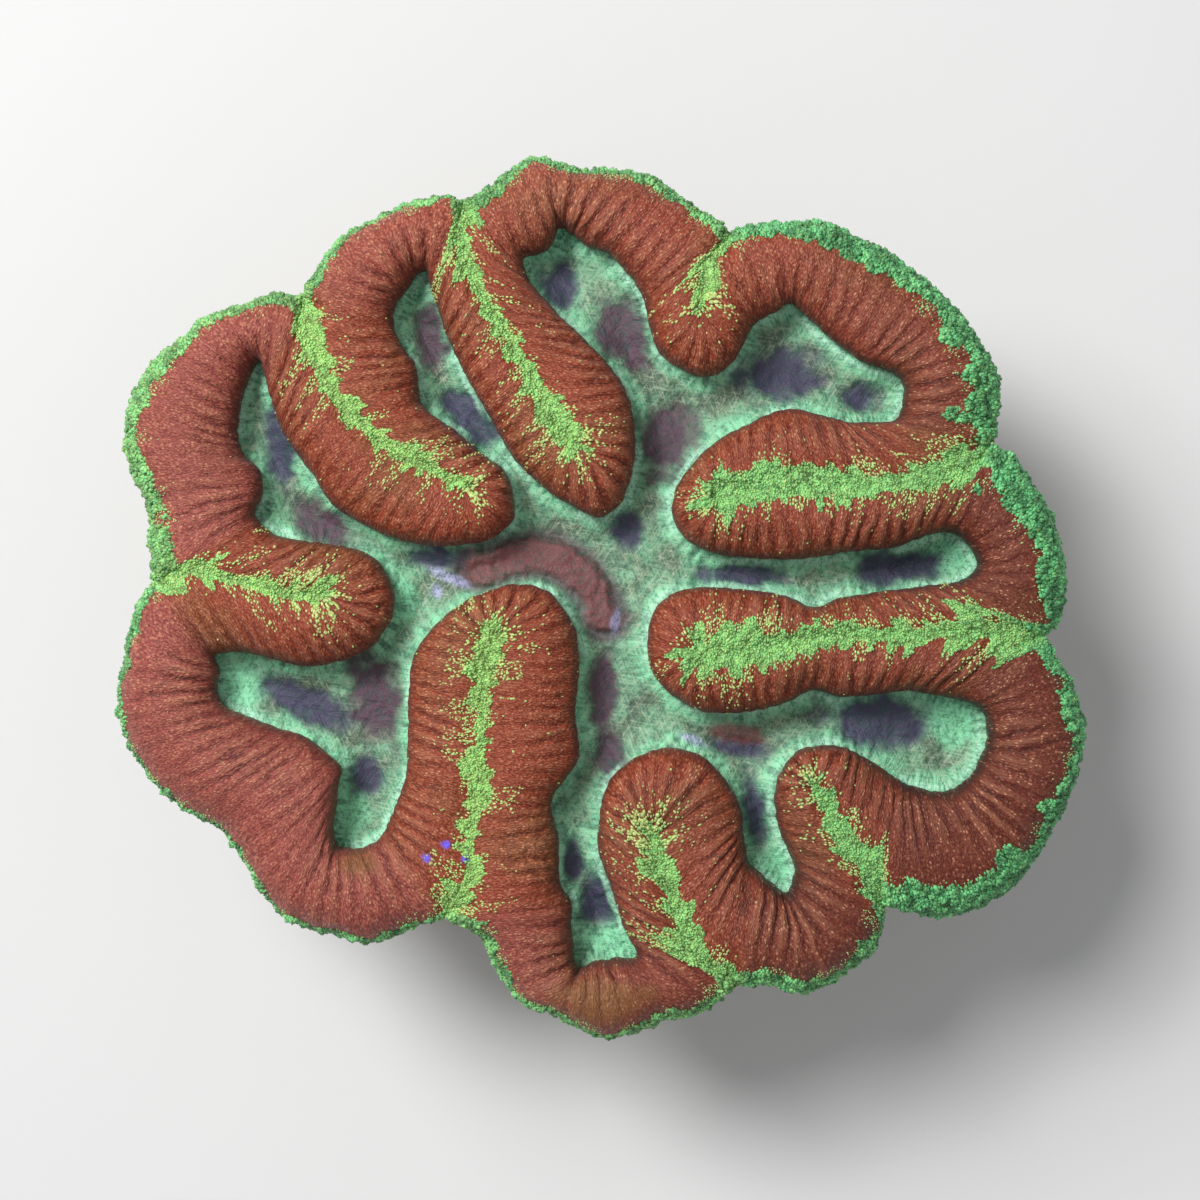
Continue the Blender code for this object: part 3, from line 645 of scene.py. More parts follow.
# ---------------------------------------------------------------------------
# Materials
# ---------------------------------------------------------------------------
def node(tree, inputs=(), kind=None, output=0, **settings):
    """Add a node and return one of its outputs.

    Inputs are a dictionary, or a row that fills them from the first on. An input that is
    itself an output is linked.
    """
    made = tree.nodes.new(kind)
    for key, value in settings.items():
        setattr(made, key, value)
    for key, value in inputs.items() if isinstance(inputs, dict) else enumerate(inputs):
        if isinstance(value, bpy.types.NodeSocket):
            tree.links.new(value, made.inputs[key])
        else:
            made.inputs[key].default_value = value
    return made.outputs[output] if len(made.outputs) else None


# Settings that repeat. A soft step takes a value, its range, and what that becomes; a blend
# takes a factor and two values, and a mix has its factor at 0 and its colours at 6 and 7.
STEP = {"kind": "ShaderNodeMapRange", "interpolation_type": "SMOOTHSTEP"}
MIX = {"kind": "ShaderNodeMix", "output": 2, "data_type": "RGBA"}
BLEND = {"kind": "ShaderNodeMix", "data_type": "FLOAT"}
TIMES = {"kind": "ShaderNodeMath", "operation": "MULTIPLY"}
TIMES_PLUS = {"kind": "ShaderNodeMath", "operation": "MULTIPLY_ADD"}
PLUS = {"kind": "ShaderNodeMath", "operation": "ADD"}
VALUE = {"kind": "ShaderNodeAttribute", "output": "Fac"}
PLACE = {"kind": "ShaderNodeTexCoord", "output": "Object"}
GRAIN = {"kind": "ShaderNodeUVMap", "uv_map": "grain"}
LIE = {"kind": "ShaderNodeMapping"}
NOISE = {"kind": "ShaderNodeTexNoise"}
CELLS = {"kind": "ShaderNodeTexVoronoi"}


def new_material(name):
    """An empty node material; returns material and tree."""
    material = bpy.data.materials.new(name)
    material.use_nodes = True
    material.node_tree.nodes.clear()
    return material, material.node_tree


def palette(colours):
    """Every colour of the group with full alpha, by name."""
    return {key: (*getattr(colours, key), 1.0) for key in ColonyColours.__annotations__}


def close_material(tree, body, relief, depth, strength, values):
    """Give the tree its surface: colour, relief of a depth in metres, and plain values."""
    bump = node(tree, {"Height": relief, "Distance": depth, "Strength": strength},
                "ShaderNodeBump")
    shader = node(tree, {"Base Color": body, "Normal": bump, **values},
                  "ShaderNodeBsdfPrincipled")
    node(tree, {"Surface": shader}, "ShaderNodeOutputMaterial")


def flesh_material(colours):
    """Living coral flesh, grown and wet: matt brick red skin combed across the band.

    Skin ridges are about 0.3 mm wide and 1 mm long, with a painted highlight on their tops
    and painted shade in their seams. Where it is green the skin is granular instead, with
    painted shade between the tufts and granules.
    """
    material, tree = new_material("coral_flesh_living")
    rgba = palette(colours)
    uv, place = node(tree, **GRAIN), node(tree, **PLACE)
    # the UV map counts metres, so these are numbers a metre, along the band and across it:
    # skin ridges, the grains that they break up into, thin creases, and specks
    ridge_lie, grain_lie, crease_lie, speck_lie = (
        node(tree, {"Vector": uv, "Scale": (along, across, 1.0)}, **LIE) for along, across in
        ((3800.0, 1050.0), (4000.0, 1700.0), (720.0, 160.0), (2500.0, 1450.0)))
    ridge = node(tree, {"Vector": ridge_lie, "Scale": 1.0, "Detail": 3.0, "Distortion": 0.9},
                 noise_dimensions="2D", **NOISE)
    grain = node(tree, {"Vector": grain_lie, "Scale": 1.0}, voronoi_dimensions="2D", **CELLS)
    grain = node(tree, (grain, 0.05, 0.75, 0.24, 0.0), **STEP)
    ridge = node(tree, (ridge, 0.76, grain), **TIMES_PLUS)
    # a crease lies where its noise passes the middle value; it is darkened as painted shade and
    # pressed in by the bump
    thread = node(tree, {"Vector": crease_lie, "Scale": 1.0, "Detail": 1.0},
                  noise_dimensions="2D", **NOISE)
    thread = node(tree, (thread, 0.5), "ShaderNodeMath", operation="SUBTRACT")
    thread = node(tree, (thread,), "ShaderNodeMath", operation="ABSOLUTE")
    fine = node(tree, {"Vector": place, "Scale": 2600.0, "Detail": 2.0}, **NOISE)
    broad = node(tree, {"Vector": place, "Scale": 70.0, "Detail": 3.0}, **NOISE)
    # one in four cells of a jittered grid of 0.4 by 0.7 mm holds a speck
    speck = node(tree, {"Vector": speck_lie, "Scale": 1.0}, voronoi_dimensions="2D", **CELLS)
    chance = node(tree, (speck.node.outputs["Color"],), "ShaderNodeSeparateColor")
    # granules of the green skin, about 0.45 mm
    granule = node(tree, {"Vector": place, "Scale": 2300.0}, **CELLS)
    green, lift, lime, pink, edge, crease, strength, rib_top, gold, violet = (
        node(tree, attribute_name=name, **VALUE) for name in
        ("green", "lift", "lime", "pink", "edge", "crease", "strength", "rib_top", "gold",
         "violet"))
    thread, speck, chance, granule, patch, seam_shade, crown_highlight, painted_shade, shown, rib_highlight = (
        node(tree, row, **STEP) for row in (
            (thread, 0.0, 0.045, 1.0, 0.0), (speck, 0.12, 0.42, 1.0, 0.0), (chance, 0.66, 0.86),
            (granule, 0.1, 0.65, 1.0, 0.0), (broad, 0.48, 0.7), (ridge, 0.34, 0.5, 0.42, 0.0),
            (ridge, 0.5, 0.72, 0.0, 0.45), (crease, 0.04, 0.8, 0.0, 0.5),
            (rib_top, 0.0, 0.8, 0.4, 1.0), (rib_top, 0.2, 1.2, 0.0, 0.22)))
    crease_line_shade = node(tree, (thread, strength), **TIMES)
    speck = node(tree, (speck, chance), **TIMES)
    speck = node(tree, (speck, shown), **TIMES)
    # brown patches, pinker lobes, pale specks (stronger on rib tops) and golden patches are the
    # flesh's own colour; the darkening in seams, in creases, towards the valley's edge and on the
    # eastern side is painted shade, and the paling of ridge and rib tops is a painted highlight
    body = rgba["flesh"]
    for amount, colour in ((patch, "flesh_brown"), (pink, "flesh_pink"), (seam_shade, "flesh_painted_shade"),
                           (crown_highlight, "flesh_pale_and_highlight"), (painted_shade, "flesh_painted_shade"), (edge, "flesh_painted_shade"),
                           (crease_line_shade, "flesh_painted_shade"), (speck, "flesh_pale_and_highlight"), (rib_highlight, "flesh_pale_and_highlight"),
                           (gold, "gold")):
        body = node(tree, {0: amount, 6: body, 7: rgba[colour]}, **MIX)

    # painted shade: the green skin darkens to a crevice colour between the tufts and granules
    skin = node(tree, {0: lime, 6: rgba["emerald"], 7: rgba["lime"]}, **MIX)
    gap = node(tree, {0: lime, 6: rgba["forest"], 7: rgba["olive"]}, **MIX)
    top = node(tree, (lift, granule), **PLUS)
    bright = node(tree, (top, 0.0, 1.0), **STEP)
    skin = node(tree, {0: bright, 6: gap, 7: skin}, **MIX)
    ragged = node(tree, (granule, 0.35, green), **TIMES_PLUS)
    cover = node(tree, (ragged, 0.55, 0.8), **STEP)
    body = node(tree, {0: cover, 6: body, 7: skin}, **MIX)
    body = node(tree, {0: violet, 6: body, 7: rgba["violet"]}, **MIX)

    relief = node(tree, (fine, 0.5, ridge), **TIMES_PLUS)
    relief = node(tree, (crease_line_shade, -0.6, relief), **TIMES_PLUS)
    relief = node(tree, {0: cover, 2: relief, 3: granule}, **BLEND)
    close_material(tree, body, relief, 0.00026, 1.0,
                   {"Roughness": 0.52, "Specular IOR Level": 0.3, "Sheen Weight": 0.05,
                    "Sheen Roughness": 0.4})
    return material


def papilla_material(colours):
    """Papillae, soft wet tissue: painted shade darkens each root, some tips cream."""
    material, tree = new_material("papilla_tissue_green")
    rgba = palette(colours)
    fine = node(tree, {"Vector": node(tree, **PLACE), "Scale": 2200.0, "Detail": 2.0}, **NOISE)
    lime, cream, tone_and_shade, rose, top = (node(tree, attribute_name=name, **VALUE) for name in
                                   ("lime", "cream", "tone_and_shade", "rose", "top"))
    skin = rgba["emerald"]
    for amount, colour in ((lime, "lime"), (cream, "cream"), (rose, "flesh_pale_and_highlight")):
        skin = node(tree, {0: amount, 6: skin, 7: rgba[colour]}, **MIX)
    gap = node(tree, {0: lime, 6: rgba["forest"], 7: rgba["olive"]}, **MIX)
    # painted shade: each papilla darkens from its tip down to its root
    bright = node(tree, (top, 0.0, 0.8, 0.2, 1.0), **STEP)
    body = node(tree, {0: bright, 6: gap, 7: skin}, **MIX)
    # fine random mottling, a random dimming of whole papillae, and painted shade on those in crevices
    # between tufts
    mottle_and_shade = node(tree, (fine, 0.4, 0.7, 0.0, 0.3), **STEP)
    mottle_and_shade = node(tree, (mottle_and_shade, tone_and_shade), use_clamp=True, **PLUS)
    body = node(tree, {0: mottle_and_shade, 6: body, 7: gap}, **MIX)
    close_material(tree, body, fine, 0.0001, 0.6, {"Roughness": 0.48})
    return material


def disc_material(colours):
    """Oral disc, thin living skin: felt of fine pale fibres, mint by the flesh, stained, painted shade
    in furrows.
    """
    material, tree = new_material("oral_disc_skin")
    rgba = palette(colours)
    uv, place = node(tree, **GRAIN), node(tree, **PLACE)
    # combed by the flesh: furrows 0.45 mm apart and 2 mm long
    comb = node(tree, {"Vector": uv, "Scale": (2200.0, 500.0, 1.0)}, **LIE)
    combed, felt, cloud = (node(tree, inputs, **NOISE) for inputs in (
        {"Vector": comb, "Scale": 1.0, "Detail": 3.0, "Distortion": 0.4},
        {"Vector": place, "Scale": 1300.0, "Detail": 5.0, "Roughness": 0.7, "Distortion": 0.6},
        {"Vector": place, "Scale": 160.0, "Detail": 4.0, "Distortion": 0.5}))
    wall, furrow, foam, *stains = (
        node(tree, attribute_name=name, **VALUE) for name in ("wall", "furrow", "foam", *FADE))
    weave = node(tree, {0: wall, 2: felt, 3: combed}, **BLEND)
    tone = node(tree, (cloud, 0.35, 0.65, 0.0, 0.5), **STEP)
    near = node(tree, (wall, 0.0, 0.9, 0.0, 0.9), **STEP)
    body = rgba["jade"]
    for amount in (tone, near):
        body = node(tree, {0: amount, 6: body, 7: rgba["mint"]}, **MIX)
    # felt: short pale fibres 0.3 mm wide and 2 mm long that lie three ways
    for turn in (0.35, 1.4, 2.5):
        lie = node(tree, {"Vector": place, "Rotation": (0.0, 0.0, turn),
                          "Scale": (0.0003, 0.002, 0.002)}, vector_type="TEXTURE", **LIE)
        fibre = node(tree, {"Vector": lie, "Scale": 1.0, "Detail": 2.0, "Distortion": 0.5},
                     **NOISE)
        hair = node(tree, (fibre, 0.52, 0.74, 0.0, 0.6), **STEP)
        body = node(tree, {0: hair, 6: body, 7: rgba["fibre"]}, **MIX)
        weave = node(tree, (fibre, 0.6, weave), **TIMES_PLUS)
    # painted shade: the low parts of the felt and of the combing are darkened
    shade = node(tree, (weave, 1.15, 1.5, 0.6, 0.0), **STEP)
    # stains and the pale line are the floor's own colour; the furrows get painted shade
    for amount, colour in (*zip(stains, FADE), (furrow, "teal_shade"), (foam, "foam"),
                           (shade, "teal_shade")):
        body = node(tree, {0: amount, 6: body, 7: rgba[colour]}, **MIX)
    close_material(tree, body, weave, 0.0003, 0.7, {"Roughness": 0.6})
    return material


def skeleton_material(colours):
    """Bare aragonite skeleton, grown and chalky, pink coralline crust low down, painted shade in
    grooves.
    """
    material, tree = new_material("aragonite_skeleton")
    rgba = palette(colours)
    place = node(tree, **PLACE)
    patch, grit = (node(tree, inputs, **NOISE) for inputs in (
        {"Vector": place, "Scale": 70.0, "Detail": 5.0, "Roughness": 0.6},
        {"Vector": place, "Scale": 1300.0, "Detail": 3.0}))
    groove_shade = node(tree, attribute_name="groove_shade", **VALUE)
    crust, groove_shade_amount, pore = (node(tree, row, **STEP) for row in (
        (patch, 0.46, 0.74, 0.0, 0.9), (groove_shade, 0.2, 1.0, 0.0, 0.7), (grit, 0.35, 0.75, 0.0, 0.35)))
    body = rgba["bone"]
    for amount, colour in ((crust, "crust"), (groove_shade_amount, "groove_shade"), (pore, "pore")):
        body = node(tree, {0: amount, 6: body, 7: rgba[colour]}, **MIX)
    close_material(tree, body, grit, 0.0003, 0.7, {"Roughness": 0.85})
    return material


# ---------------------------------------------------------------------------
# Pieces
# ---------------------------------------------------------------------------
def quarters(rows):
    """Name, first row and last row of each quarter of the band."""
    bounds = np.linspace(0, rows, len(QUARTERS) + 1).astype(int)
    return zip(QUARTERS, bounds[:-1], bounds[1:])


class CORAL_OT_flesh(bpy.types.Operator):
    """Add the winding band of flesh, in four lengths that share their end rows"""
    bl_idname = "coral.flesh"
    bl_label = "Flesh band"

    def execute(self, context):
        plan = flesh_surface(context.scene.coral_sizes)
        points, share = plan["points"], plan["share"]
        rows, columns = share.shape
        flat = points[..., :2]
        gold, violet = np.zeros(share.shape), np.zeros(share.shape)
        for x, y, a, b in GOLDEN:
            reach = np.hypot((flat[..., 0] - x) / a, (flat[..., 1] - y) / b)
            gold = np.maximum(gold, 1 - smooth(0.5, 1.15, reach + noise(flat, 2.5, 51) * 0.5))
        for x, y in VIOLET:
            reach = np.hypot(flat[..., 0] - x, flat[..., 1] - y)
            violet = np.maximum(violet, 1 - smooth(0.35, 0.8, reach))
        # the western and southern lobes are pinker; painted shade darkens the skin towards the
        # valley's edge and on the eastern side
        lobe = 1 - blur(plan["fold"], 60)[:, None]
        west = smooth(15, -60, flat[..., 0] + flat[..., 1] * 0.35)
        east = smooth(-5, 65, flat[..., 0] - flat[..., 1] * 0.45)
        part = {"green": plan["green_mask"], "lift": plan["lift"], "crease": plan["crease"],
                "lime": np.repeat(plan["lime"][:, None], columns, 1),
                "pink": 0.85 * (0.25 + 0.75 * west) * lobe,
                "edge": 0.5 * smooth(0.88, 1.0, share) + east * (0.24 + 0.3 * lobe),
                "gold": 0.55 * gold, "violet": violet,
                # strength sets the painted shade of thin creases; rib_top sets the painted highlight
                # on rib tops
                "strength": 0.45 * smooth(0.35, 0.9, plan["strength"]),
                "rib_top": plan["rib_top"]}
        material = flesh_material(context.scene.coral_colours)
        for name, first, last in quarters(rows):
            take = np.arange(first, last + 1) % rows
            uv = plan["here"][take] * MM
            if take[-1] == 0:
                uv[-1, :, 0] = (plan["walk"][-1] + PLAN_STEP) * MM
            finish_piece(new_mesh("flesh_" + name, points[take].reshape(-1, 3),
                                  grid_quads(len(take), columns, False),
                                  {key: values[take] for key, values in part.items()},
                                  uv.reshape(-1, 2), plan["normals"][take].reshape(-1, 3)),
                         material, "coral")
        return {"FINISHED"}


class CORAL_OT_disc(bpy.types.Operator):
    """Add the valley floor, a felted sheet that runs a little under the flesh"""
    bl_idname = "coral.disc"
    bl_label = "Valley floor"

    def execute(self, context):
        sizes = context.scene.coral_sizes
        plan = flesh_surface(sizes)
        edge = plan["inner"][::3]
        step, under = 0.28, 1.5         # mm: the sheet's mesh, and its reach under the flesh
        xs, ys = (np.arange(plan["inner"][:, k].min() - 2, plan["inner"][:, k].max() + 2, step)
                  for k in (0, 1))
        flat = np.stack(np.meshgrid(xs, ys, indexing="ij"), axis=2).reshape(-1, 2)
        near, which = edge_distance(flat, edge)
        far = np.where(inside(flat, edge), near, -near)
        keep = far > -under
        number = np.cumsum(keep) - 1
        quads = grid_quads(len(xs), len(ys), False)[:, ::-1]
        quads = number[quads[keep[quads].all(axis=1)]]
        flat, far, along = flat[keep], far[keep], plan["walk"][::3][which[keep]]
        # height: below the crest by the valley's depth, dished, combed and felted
        wall = 1 - smooth(0.2, 3.4, far + (fractal(flat, 3.0, 61, 2) - 0.5) * 2.4)
        comb = np.abs(np.sin(pi * along / 1.0 + 3.4 * noise(flat, 3.0, 63)))
        height = (crest_height(flat, sizes) - sizes.valley / MM
                  - sizes.dish / MM * smooth(0, 4.5, far)
                  + 0.9 * (1 - smooth(-1.5, 1.6, far))
                  + (fractal(flat, 6.0, 62, 2) - 0.5) * 1.4
                  + (comb - 0.6) * 0.45 * wall * smooth(-1, 0.5, far)
                  + (fractal(flat, 0.9, 64, 2) - 0.5) * 0.42)
        stains = {kind: np.zeros(len(flat)) for kind in FADE}
        ragged = fractal(flat, 2.6, 65, 3) - 0.5
        for kind, (x, y, a, b, turn) in ((k, row) for k, rows in STAINS.items() for row in rows):
            c, s = np.cos(turn * pi / 180), np.sin(turn * pi / 180)
            u = ((flat[:, 0] - x) * c + (flat[:, 1] - y) * s) / a
            v = (-(flat[:, 0] - x) * s + (flat[:, 1] - y) * c) / b
            weight = 1 - smooth(0.5, 1.25, np.hypot(u, v) + ragged * 0.9)
            stains[kind] = np.maximum(stains[kind], weight)
        ridge = spline(CRESCENT, False, [12] * (len(CRESCENT) - 1))
        to_ridge, _ = edge_distance(flat, ridge)
        crescent = 1 - smooth(1.4, 3.4, to_ridge + ragged * 2.2)
        stains["maroon"] = np.maximum(stains["maroon"], crescent)
        stains["plum"] = np.maximum(stains["plum"], 0.8 * (1 - smooth(3.0, 5.2, to_ridge)))
        part = {kind: stains[kind] * FADE[kind] for kind in FADE}
        height += 1.1 * crescent - 0.7 * np.maximum(part["slate"], part["plum"])
        # a pale line beside the flesh, here and there
        line = 1 - smooth(0.15, 0.75, np.abs(far - 0.5 - ragged))
        # the comb's furrows beside the flesh get painted shade
        part.update(wall=wall, furrow=0.62 * (1 - smooth(0.0, 0.6, comb)) * wall,
                    foam=0.75 * line * smooth(0.42, 0.62, noise(flat, 7.0, 66)))
        finish_piece(new_mesh("valley_floor", np.column_stack([flat, height]), quads, part,
                              np.column_stack([along, far]) * MM),
                     disc_material(context.scene.coral_colours))
        return {"FINISHED"}


class CORAL_OT_skeleton(bpy.types.Operator):
    """Add the ribbed skeleton wall under the rim and the flat cut it stands on"""
    bl_idname = "coral.skeleton"
    bl_label = "Skeleton wall"

    def execute(self, context):
        sizes = context.scene.coral_sizes
        plan = flesh_surface(sizes)
        rim = plan["outer"][(plan["fold"] < 0.5)]
        walk = walked(rim)
        angle = np.arctan2(rim[:, 1] / BASE_AXES[1], rim[:, 0] / BASE_AXES[0])
        oval = np.column_stack([BASE_AXES[0] * np.cos(angle), BASE_AXES[1] * np.sin(angle)])
        top = crest_height(rim, sizes) - sizes.rim_drop / MM
        share = np.linspace(1, 0, 48)
        table = np.array(WALL)[::-1]
        scale, rounding = (np.interp(share, table[:, 0], table[:, k])[None, :, None]
                           for k in (1, 2))
        flat = (rim[:, None] * (1 - rounding) + oval[:, None] * rounding) * scale
        height = top[:, None] * share
        points = np.concatenate([flat, height[..., None]], axis=2)
        # costae: sharp ribs down the wall, toothed, fading out towards the cut
        spacing = walk[-1] / round(walk[-1] / (sizes.costa / MM))
        around = np.stack([np.broadcast_to(walk[:, None], height.shape), height], axis=2)
        turn = pi * around[..., 0] / spacing + (noise(around / [1, 4], 5.0, 71) - 0.5) * 3.0
        rib = (1 - np.abs(np.sin(turn)) ** 0.7
               + 0.45 * (1 - np.abs(np.sin(turn + pi / 2)) ** 0.7))
        teeth = 0.3 + 1.8 * noise(around / [1, 1.3], 1.7, 72)
        worn = 0.3 + 1.0 * fractal(around / [1, 1.5], 9.0, 74, 2)
        out = 1.3 * rib * teeth * worn * (0.35 + 0.65 * smooth(0.0, 0.5, share))
        # growth bands, and the swellings of an old wall
        bands = np.sin(height / 1.5 + 5 * fractal(points, 22.0, 75, 2)) * 0.35
        out = out + bands + (fractal(points, 9.0, 73, 4) - 0.5) * 3.4
        out[:, -3:] *= [0.6, 0.3, 0.0]
        points[..., :2] += unit(flat) * out[..., None]
        # flat cut: rings to the middle
        rings = points[:, -1:] * np.array([0.75, 0.5, 0.25, 0.0])[:, None]
        rings[..., 2] = 0.0
        points = np.concatenate([points, rings], axis=1)
        # painted shade: the grooves between the ribs are darkened, more in patches
        painted_shade = (1 - np.clip(rib, 0, 1)) * (0.3 + 0.9 * fractal(around, 7.0, 76, 2))
        groove_shade = np.concatenate([painted_shade, np.full(rings.shape[:2], 0.3)], axis=1)
        finish_piece(new_mesh("skeleton_wall", points.reshape(-1, 3),
                              grid_quads(*groove_shade.shape, True)[:, ::-1], {"groove_shade": groove_shade}),
                     skeleton_material(context.scene.coral_colours))
        return {"FINISHED"}


def dome(sides=5, rings=2):
    """A small dome of unit radius standing on the plane: points, faces, height share."""
    lift = np.linspace(-0.25, pi / 2, rings + 1)[:-1, None]
    turn = np.arange(sides) * 2 * pi / sides
    points = np.stack([np.cos(lift) * np.cos(turn), np.cos(lift) * np.sin(turn),
                       np.sin(lift) * np.ones(sides)], axis=2).reshape(-1, 3)
    points = np.concatenate([points, [[0, 0, 1]]])
    faces = []
    for low in range(0, rings * sides, sides):
        for a, b in zip(range(low, low + sides), [*range(low + 1, low + sides), low]):
            if low + sides < rings * sides:
                faces += [(a, b, b + sides), (a, b + sides, a + sides)]
            else:
                faces += [(a, b, rings * sides)]
    return points, np.array(faces), np.clip(points[:, 2], 0, 1)


def scatter(plan, chance, cell, seed):
    """Places on the band: more where chance is high, none two in one cell of the given size.

    A place is a grid cell picked by its area times its chance, and a random point in it.
    """
    points = plan["points"]
    following = np.roll(points, -1, 0)
    du, dv = (following - points)[:, :-1], (points[:, 1:] - points[:, :-1])
    area = np.linalg.norm(np.cross(du, dv), axis=2)
    weight = area * chance[:, :-1]
    rng = np.random.default_rng(seed)
    tries = 3.0         # places drawn for each cell's worth of area, before all but one go
    count = int(weight.sum() / cell ** 2 * tries)
    pick = rng.choice(weight.size, size=count, p=(weight / weight.sum()).ravel())
    i, j = np.unravel_index(pick, weight.shape)
    u, v = rng.random((2, count))
    k = (i + 1) % len(points)

    def mixed(values):
        a, b = u[:, None], v[:, None]
        return ((values[i, j] * (1 - a) + values[k, j] * a) * (1 - b)
                + (values[i, j + 1] * (1 - a) + values[k, j + 1] * a) * b)

    place = mixed(points)
    cells = np.floor(place / cell).astype(np.int64)
    _, first = np.unique(cells, axis=0, return_index=True)
    u, v, i, j, k = u[first], v[first], i[first], j[first], k[first]
    place, normal = mixed(points), unit(mixed(plan["normals"]))
    across = points[i, j + 1] - points[i, j]
    across -= normal * (across * normal).sum(1)[:, None]
    across /= np.linalg.norm(across, axis=1)[:, None] + 1e-9
    return {"place": place, "normal": normal, "across": across, "i": i, "j": j, "rng": rng}


def beads(name, spots, width, length, height, attributes):
    """Uneven copies of a dome on the spots, stretched along the band's cross direction."""
    shape, faces, top = dome()
    count = len(width)
    rng = np.random.default_rng(count)
    side = np.cross(spots["normal"], spots["across"])
    up = unit(spots["normal"] + rng.normal(0, 0.2, (count, 3)))
    uneven = shape * rng.uniform(0.65, 1.3, (count, len(shape), 1))
    points = spots["place"][:, None] + sum(
        way[:, None] * (uneven[..., k:k + 1] * reach[:, None, None]) for k, way, reach in
        ((0, side, width / 2), (1, spots["across"], length / 2), (2, up, height)))
    index = faces + (np.arange(count) * len(shape))[:, None, None]
    part = {key: np.repeat(values, len(shape)) for key, values in attributes.items()}
    part["top"] = np.tile(top, count)
    return new_mesh(name, points.reshape(-1, 3), index.reshape(-1, 3), part)


class CORAL_OT_papillae(bpy.types.Operator):
    """Add the green papillae on the rim and along the folds, and loose ones further in"""
    bl_idname = "coral.papillae"
    bl_label = "Papillae"

    def execute(self, context):
        sizes = context.scene.coral_sizes
        plan = flesh_surface(sizes)
        mask, lift, fold = plan["green_mask"], plan["lift"], plan["fold"]
        top = np.ones(mask.shape)
        top[:, :len(LIP)] = np.linspace(0.15, 0.8, len(LIP))
        width = sizes.papilla / MM
        material = papilla_material(context.scene.coral_colours)
        # dense on the tufts, sparse in the crevices between them
        crowd = smooth(0.1, 0.95, mask) * top * (0.3 + 0.7 * smooth(0.1, 0.6, lift))
        spots = scatter(plan, crowd, width * 0.97, 101)
        rng, i, j = spots["rng"], spots["i"], spots["j"]
        count = len(i)
        big = width * rng.uniform(0.65, 1.3, count) * (1.4 - 0.42 * fold[i])
        lime = np.clip(plan["lime"][i] + rng.normal(0, 0.16, count), 0, 1)
        cream = rng.random(count) ** 3 * (0.12 + 0.6 * plan["lime"][i])
        clump = smooth(0.35, 0.65, fractal(spots["place"], 1.7, 104, 2))
        # papillae dim at random and in patches; those in the crevices between tufts get painted shade
        tone_and_shade = (0.35 * rng.random(count) ** 2 + 0.25 * (1 - smooth(0.1, 0.6, lift[i, j]))
               + 0.5 * clump * (1 - 0.7 * fold[i]))
        for name, first, last in quarters(len(mask)):
            take = (i >= first) & (i < last)
            part = {key: spots[key][take] for key in ("place", "normal", "across")}
            finish_piece(beads("papillae_" + name, part, big[take], big[take] * 1.4,
                               big[take] * 0.55, {"lime": lime[take], "cream": cream[take],
                                                  "tone_and_shade": tone_and_shade[take]}), material)
        # loose papillae thin out over the flesh, in streaks along the ribs and round each end
        fold = fold[:, None]
        beyond = np.clip(plan["across"] - plan["green"][:, None], 0, None)
        streak = smooth(0.48, 0.72, noise(plan["here"] / [1.0, 6.0], 1.5, 81))
        reach = 0.3 + streak * plan["lime"][:, None] ** 2 * (2.0 + 0.8 * fold)
        chance = np.exp(-beyond / reach) * (1 - mask) * top * smooth(6.5, 3.0, beyond)
        chance = chance * (0.1 + 0.9 * streak) + 0.0015 * smooth(0.1, 0.3, plan["share"])
        cloud = np.zeros(mask.shape)
        for bend in FOLDS:
            end = np.array(bend["mid"][-1]) - plan["middle"]
            away = np.linalg.norm(plan["points"][..., :2] - end, axis=2) / bend["cloud"]
            cloud = np.maximum(cloud, np.exp(-away ** 2 * 1.6))
        cloud = cloud * (1 - mask) * (0.25 + 0.75 * streak) * fold
        spots = scatter(plan, chance * (0.45 + 0.25 * fold) + 0.65 * cloud, 0.4, 102)
        rng, i, j = spots["rng"], spots["i"], spots["j"]
        count = len(i)
        fold = fold[i, 0]
        small = rng.uniform(0.16, 0.34, count) * (1 + 0.35 * fold + 1.2 * cloud[i, j])
        lime = np.clip(plan["lime"][i] + 0.25 + rng.normal(0, 0.15, count), 0, 1)
        rose = smooth(0.3, 2.5, beyond[i, j]) * (0.75 - 0.55 * fold)
        finish_piece(beads("papillae_loose", spots, small,
                           small * rng.uniform(1.2, 1.9, count), small * 0.5,
                           {"lime": lime, "cream": rng.uniform(0.2, 1.0, count),
                            "tone_and_shade": rng.uniform(0.0, 0.3, count), "rose": rose}), material)
        return {"FINISHED"}


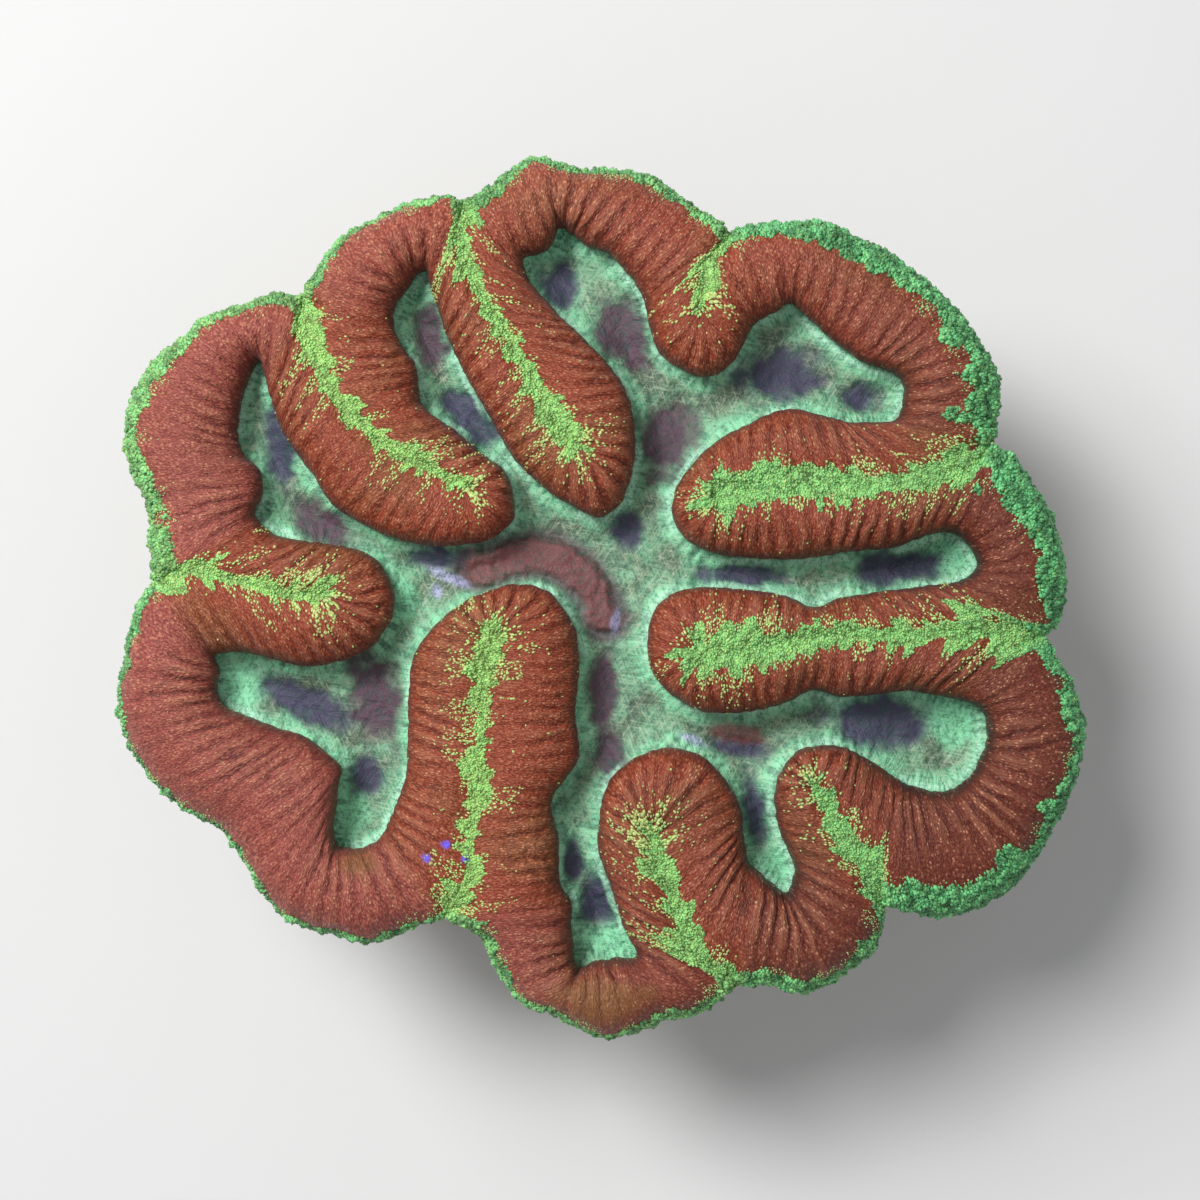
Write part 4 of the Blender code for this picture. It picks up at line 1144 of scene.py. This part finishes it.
class CORAL_OT_stage(bpy.types.Operator):
    """Add the pale floor, soft studio light and the camera straight above"""
    bl_idname = "coral.stage"
    bl_label = "Stage"

    def execute(self, context):
        scene = context.scene
        material, tree = new_material("pale_paper")
        shader = node(tree, {"Base Color": (*linear("#C8C8C7"), 1.0), "Roughness": 0.9},
                      "ShaderNodeBsdfPrincipled")
        node(tree, {"Surface": shader}, "ShaderNodeOutputMaterial")
        far = 9000.0        # mm
        floor = new_mesh("floor", [(-far, -far, 0), (far, -far, 0), (far, far, 0), (-far, far, 0)],
                         np.array([[0, 1, 2, 3]]))
        floor.data.materials.append(material)
        world = bpy.data.worlds.new("studio")
        world.use_nodes = True
        back = world.node_tree.nodes["Background"]
        back.inputs["Color"].default_value = (0.95, 0.97, 1.0, 1.0)
        back.inputs["Strength"].default_value = 0.36
        scene.world = world
        # broad soft light high on the left, a faint one from the other side, and a nearer
        # lamp that falls off to the right: place, target, power, and its angle or size
        for name, kind, place, target, power, spread in (
                ("key", "SUN", (-0.48, 0.44, 0.95), (0, 0, 0), 2.2, {"angle": 20 * pi / 180}),
                ("fill", "SUN", (0.5, -0.4, 0.9), (0, 0, 0), 0.3, {"angle": 60 * pi / 180}),
                ("near", "AREA", (-0.34, 0.27, 0.50), (0, 0, 0.05), 2.7, {"size": 0.24})):
            lamp = bpy.data.lights.new(name, kind)
            lamp.energy = power
            for key, value in spread.items():
                setattr(lamp, key, value)
            thing = bpy.data.objects.new(name, lamp)
            thing.location = place
            aim = Vector(target) - Vector(place)
            thing.rotation_euler = aim.to_track_quat("-Z", "Y").to_euler()
            scene.collection.objects.link(thing)
        camera = bpy.data.cameras.new("camera")
        camera.lens, camera.sensor_width = 100.0, 36.0
        camera.clip_start = 0.01
        # the rim, about 48 mm up, spans this share of the frame's width
        rim_up, filled = 0.048, 0.804
        reach = (CAD_HIGH[0] - CAD_LOW[0]) / filled * camera.lens / camera.sensor_width
        thing = bpy.data.objects.new("camera", camera)
        thing.location = (0.0, 0.0, rim_up + reach)
        scene.collection.objects.link(thing)
        scene.camera = thing
        scene.view_settings.view_transform = "Standard"
        return {"FINISHED"}


OPERATORS = (CORAL_OT_flesh, CORAL_OT_disc, CORAL_OT_skeleton, CORAL_OT_papillae,
             CORAL_OT_stage)


class CORAL_PT_panel(bpy.types.Panel):
    """Buttons for every piece, and the colony's sizes and colours"""
    bl_idname = "CORAL_PT_panel"
    bl_label = "Brain coral"
    bl_space_type = "VIEW_3D"
    bl_region_type = "UI"
    bl_category = "Coral"

    def draw(self, context):
        for operator in OPERATORS:
            self.layout.operator(operator.bl_idname)
        for group in (context.scene.coral_sizes, context.scene.coral_colours):
            for key in group.bl_rna.properties.keys():
                if key not in ("rna_type", "name"):
                    self.layout.prop(group, key)


CLASSES = (ColonySizes, ColonyColours, *OPERATORS, CORAL_PT_panel)


def register():
    for cls in CLASSES:
        bpy.utils.register_class(cls)
    bpy.types.Scene.coral_sizes = PointerProperty(type=ColonySizes)
    bpy.types.Scene.coral_colours = PointerProperty(type=ColonyColours)


def unregister():
    del bpy.types.Scene.coral_colours
    del bpy.types.Scene.coral_sizes
    for cls in reversed(CLASSES):
        bpy.utils.unregister_class(cls)


def main():
    """Build every piece."""
    register()
    bpy.ops.coral.flesh()
    bpy.ops.coral.disc()
    bpy.ops.coral.skeleton()
    bpy.ops.coral.papillae()
    bpy.ops.coral.stage()


if __name__ == "__main__":
    main()
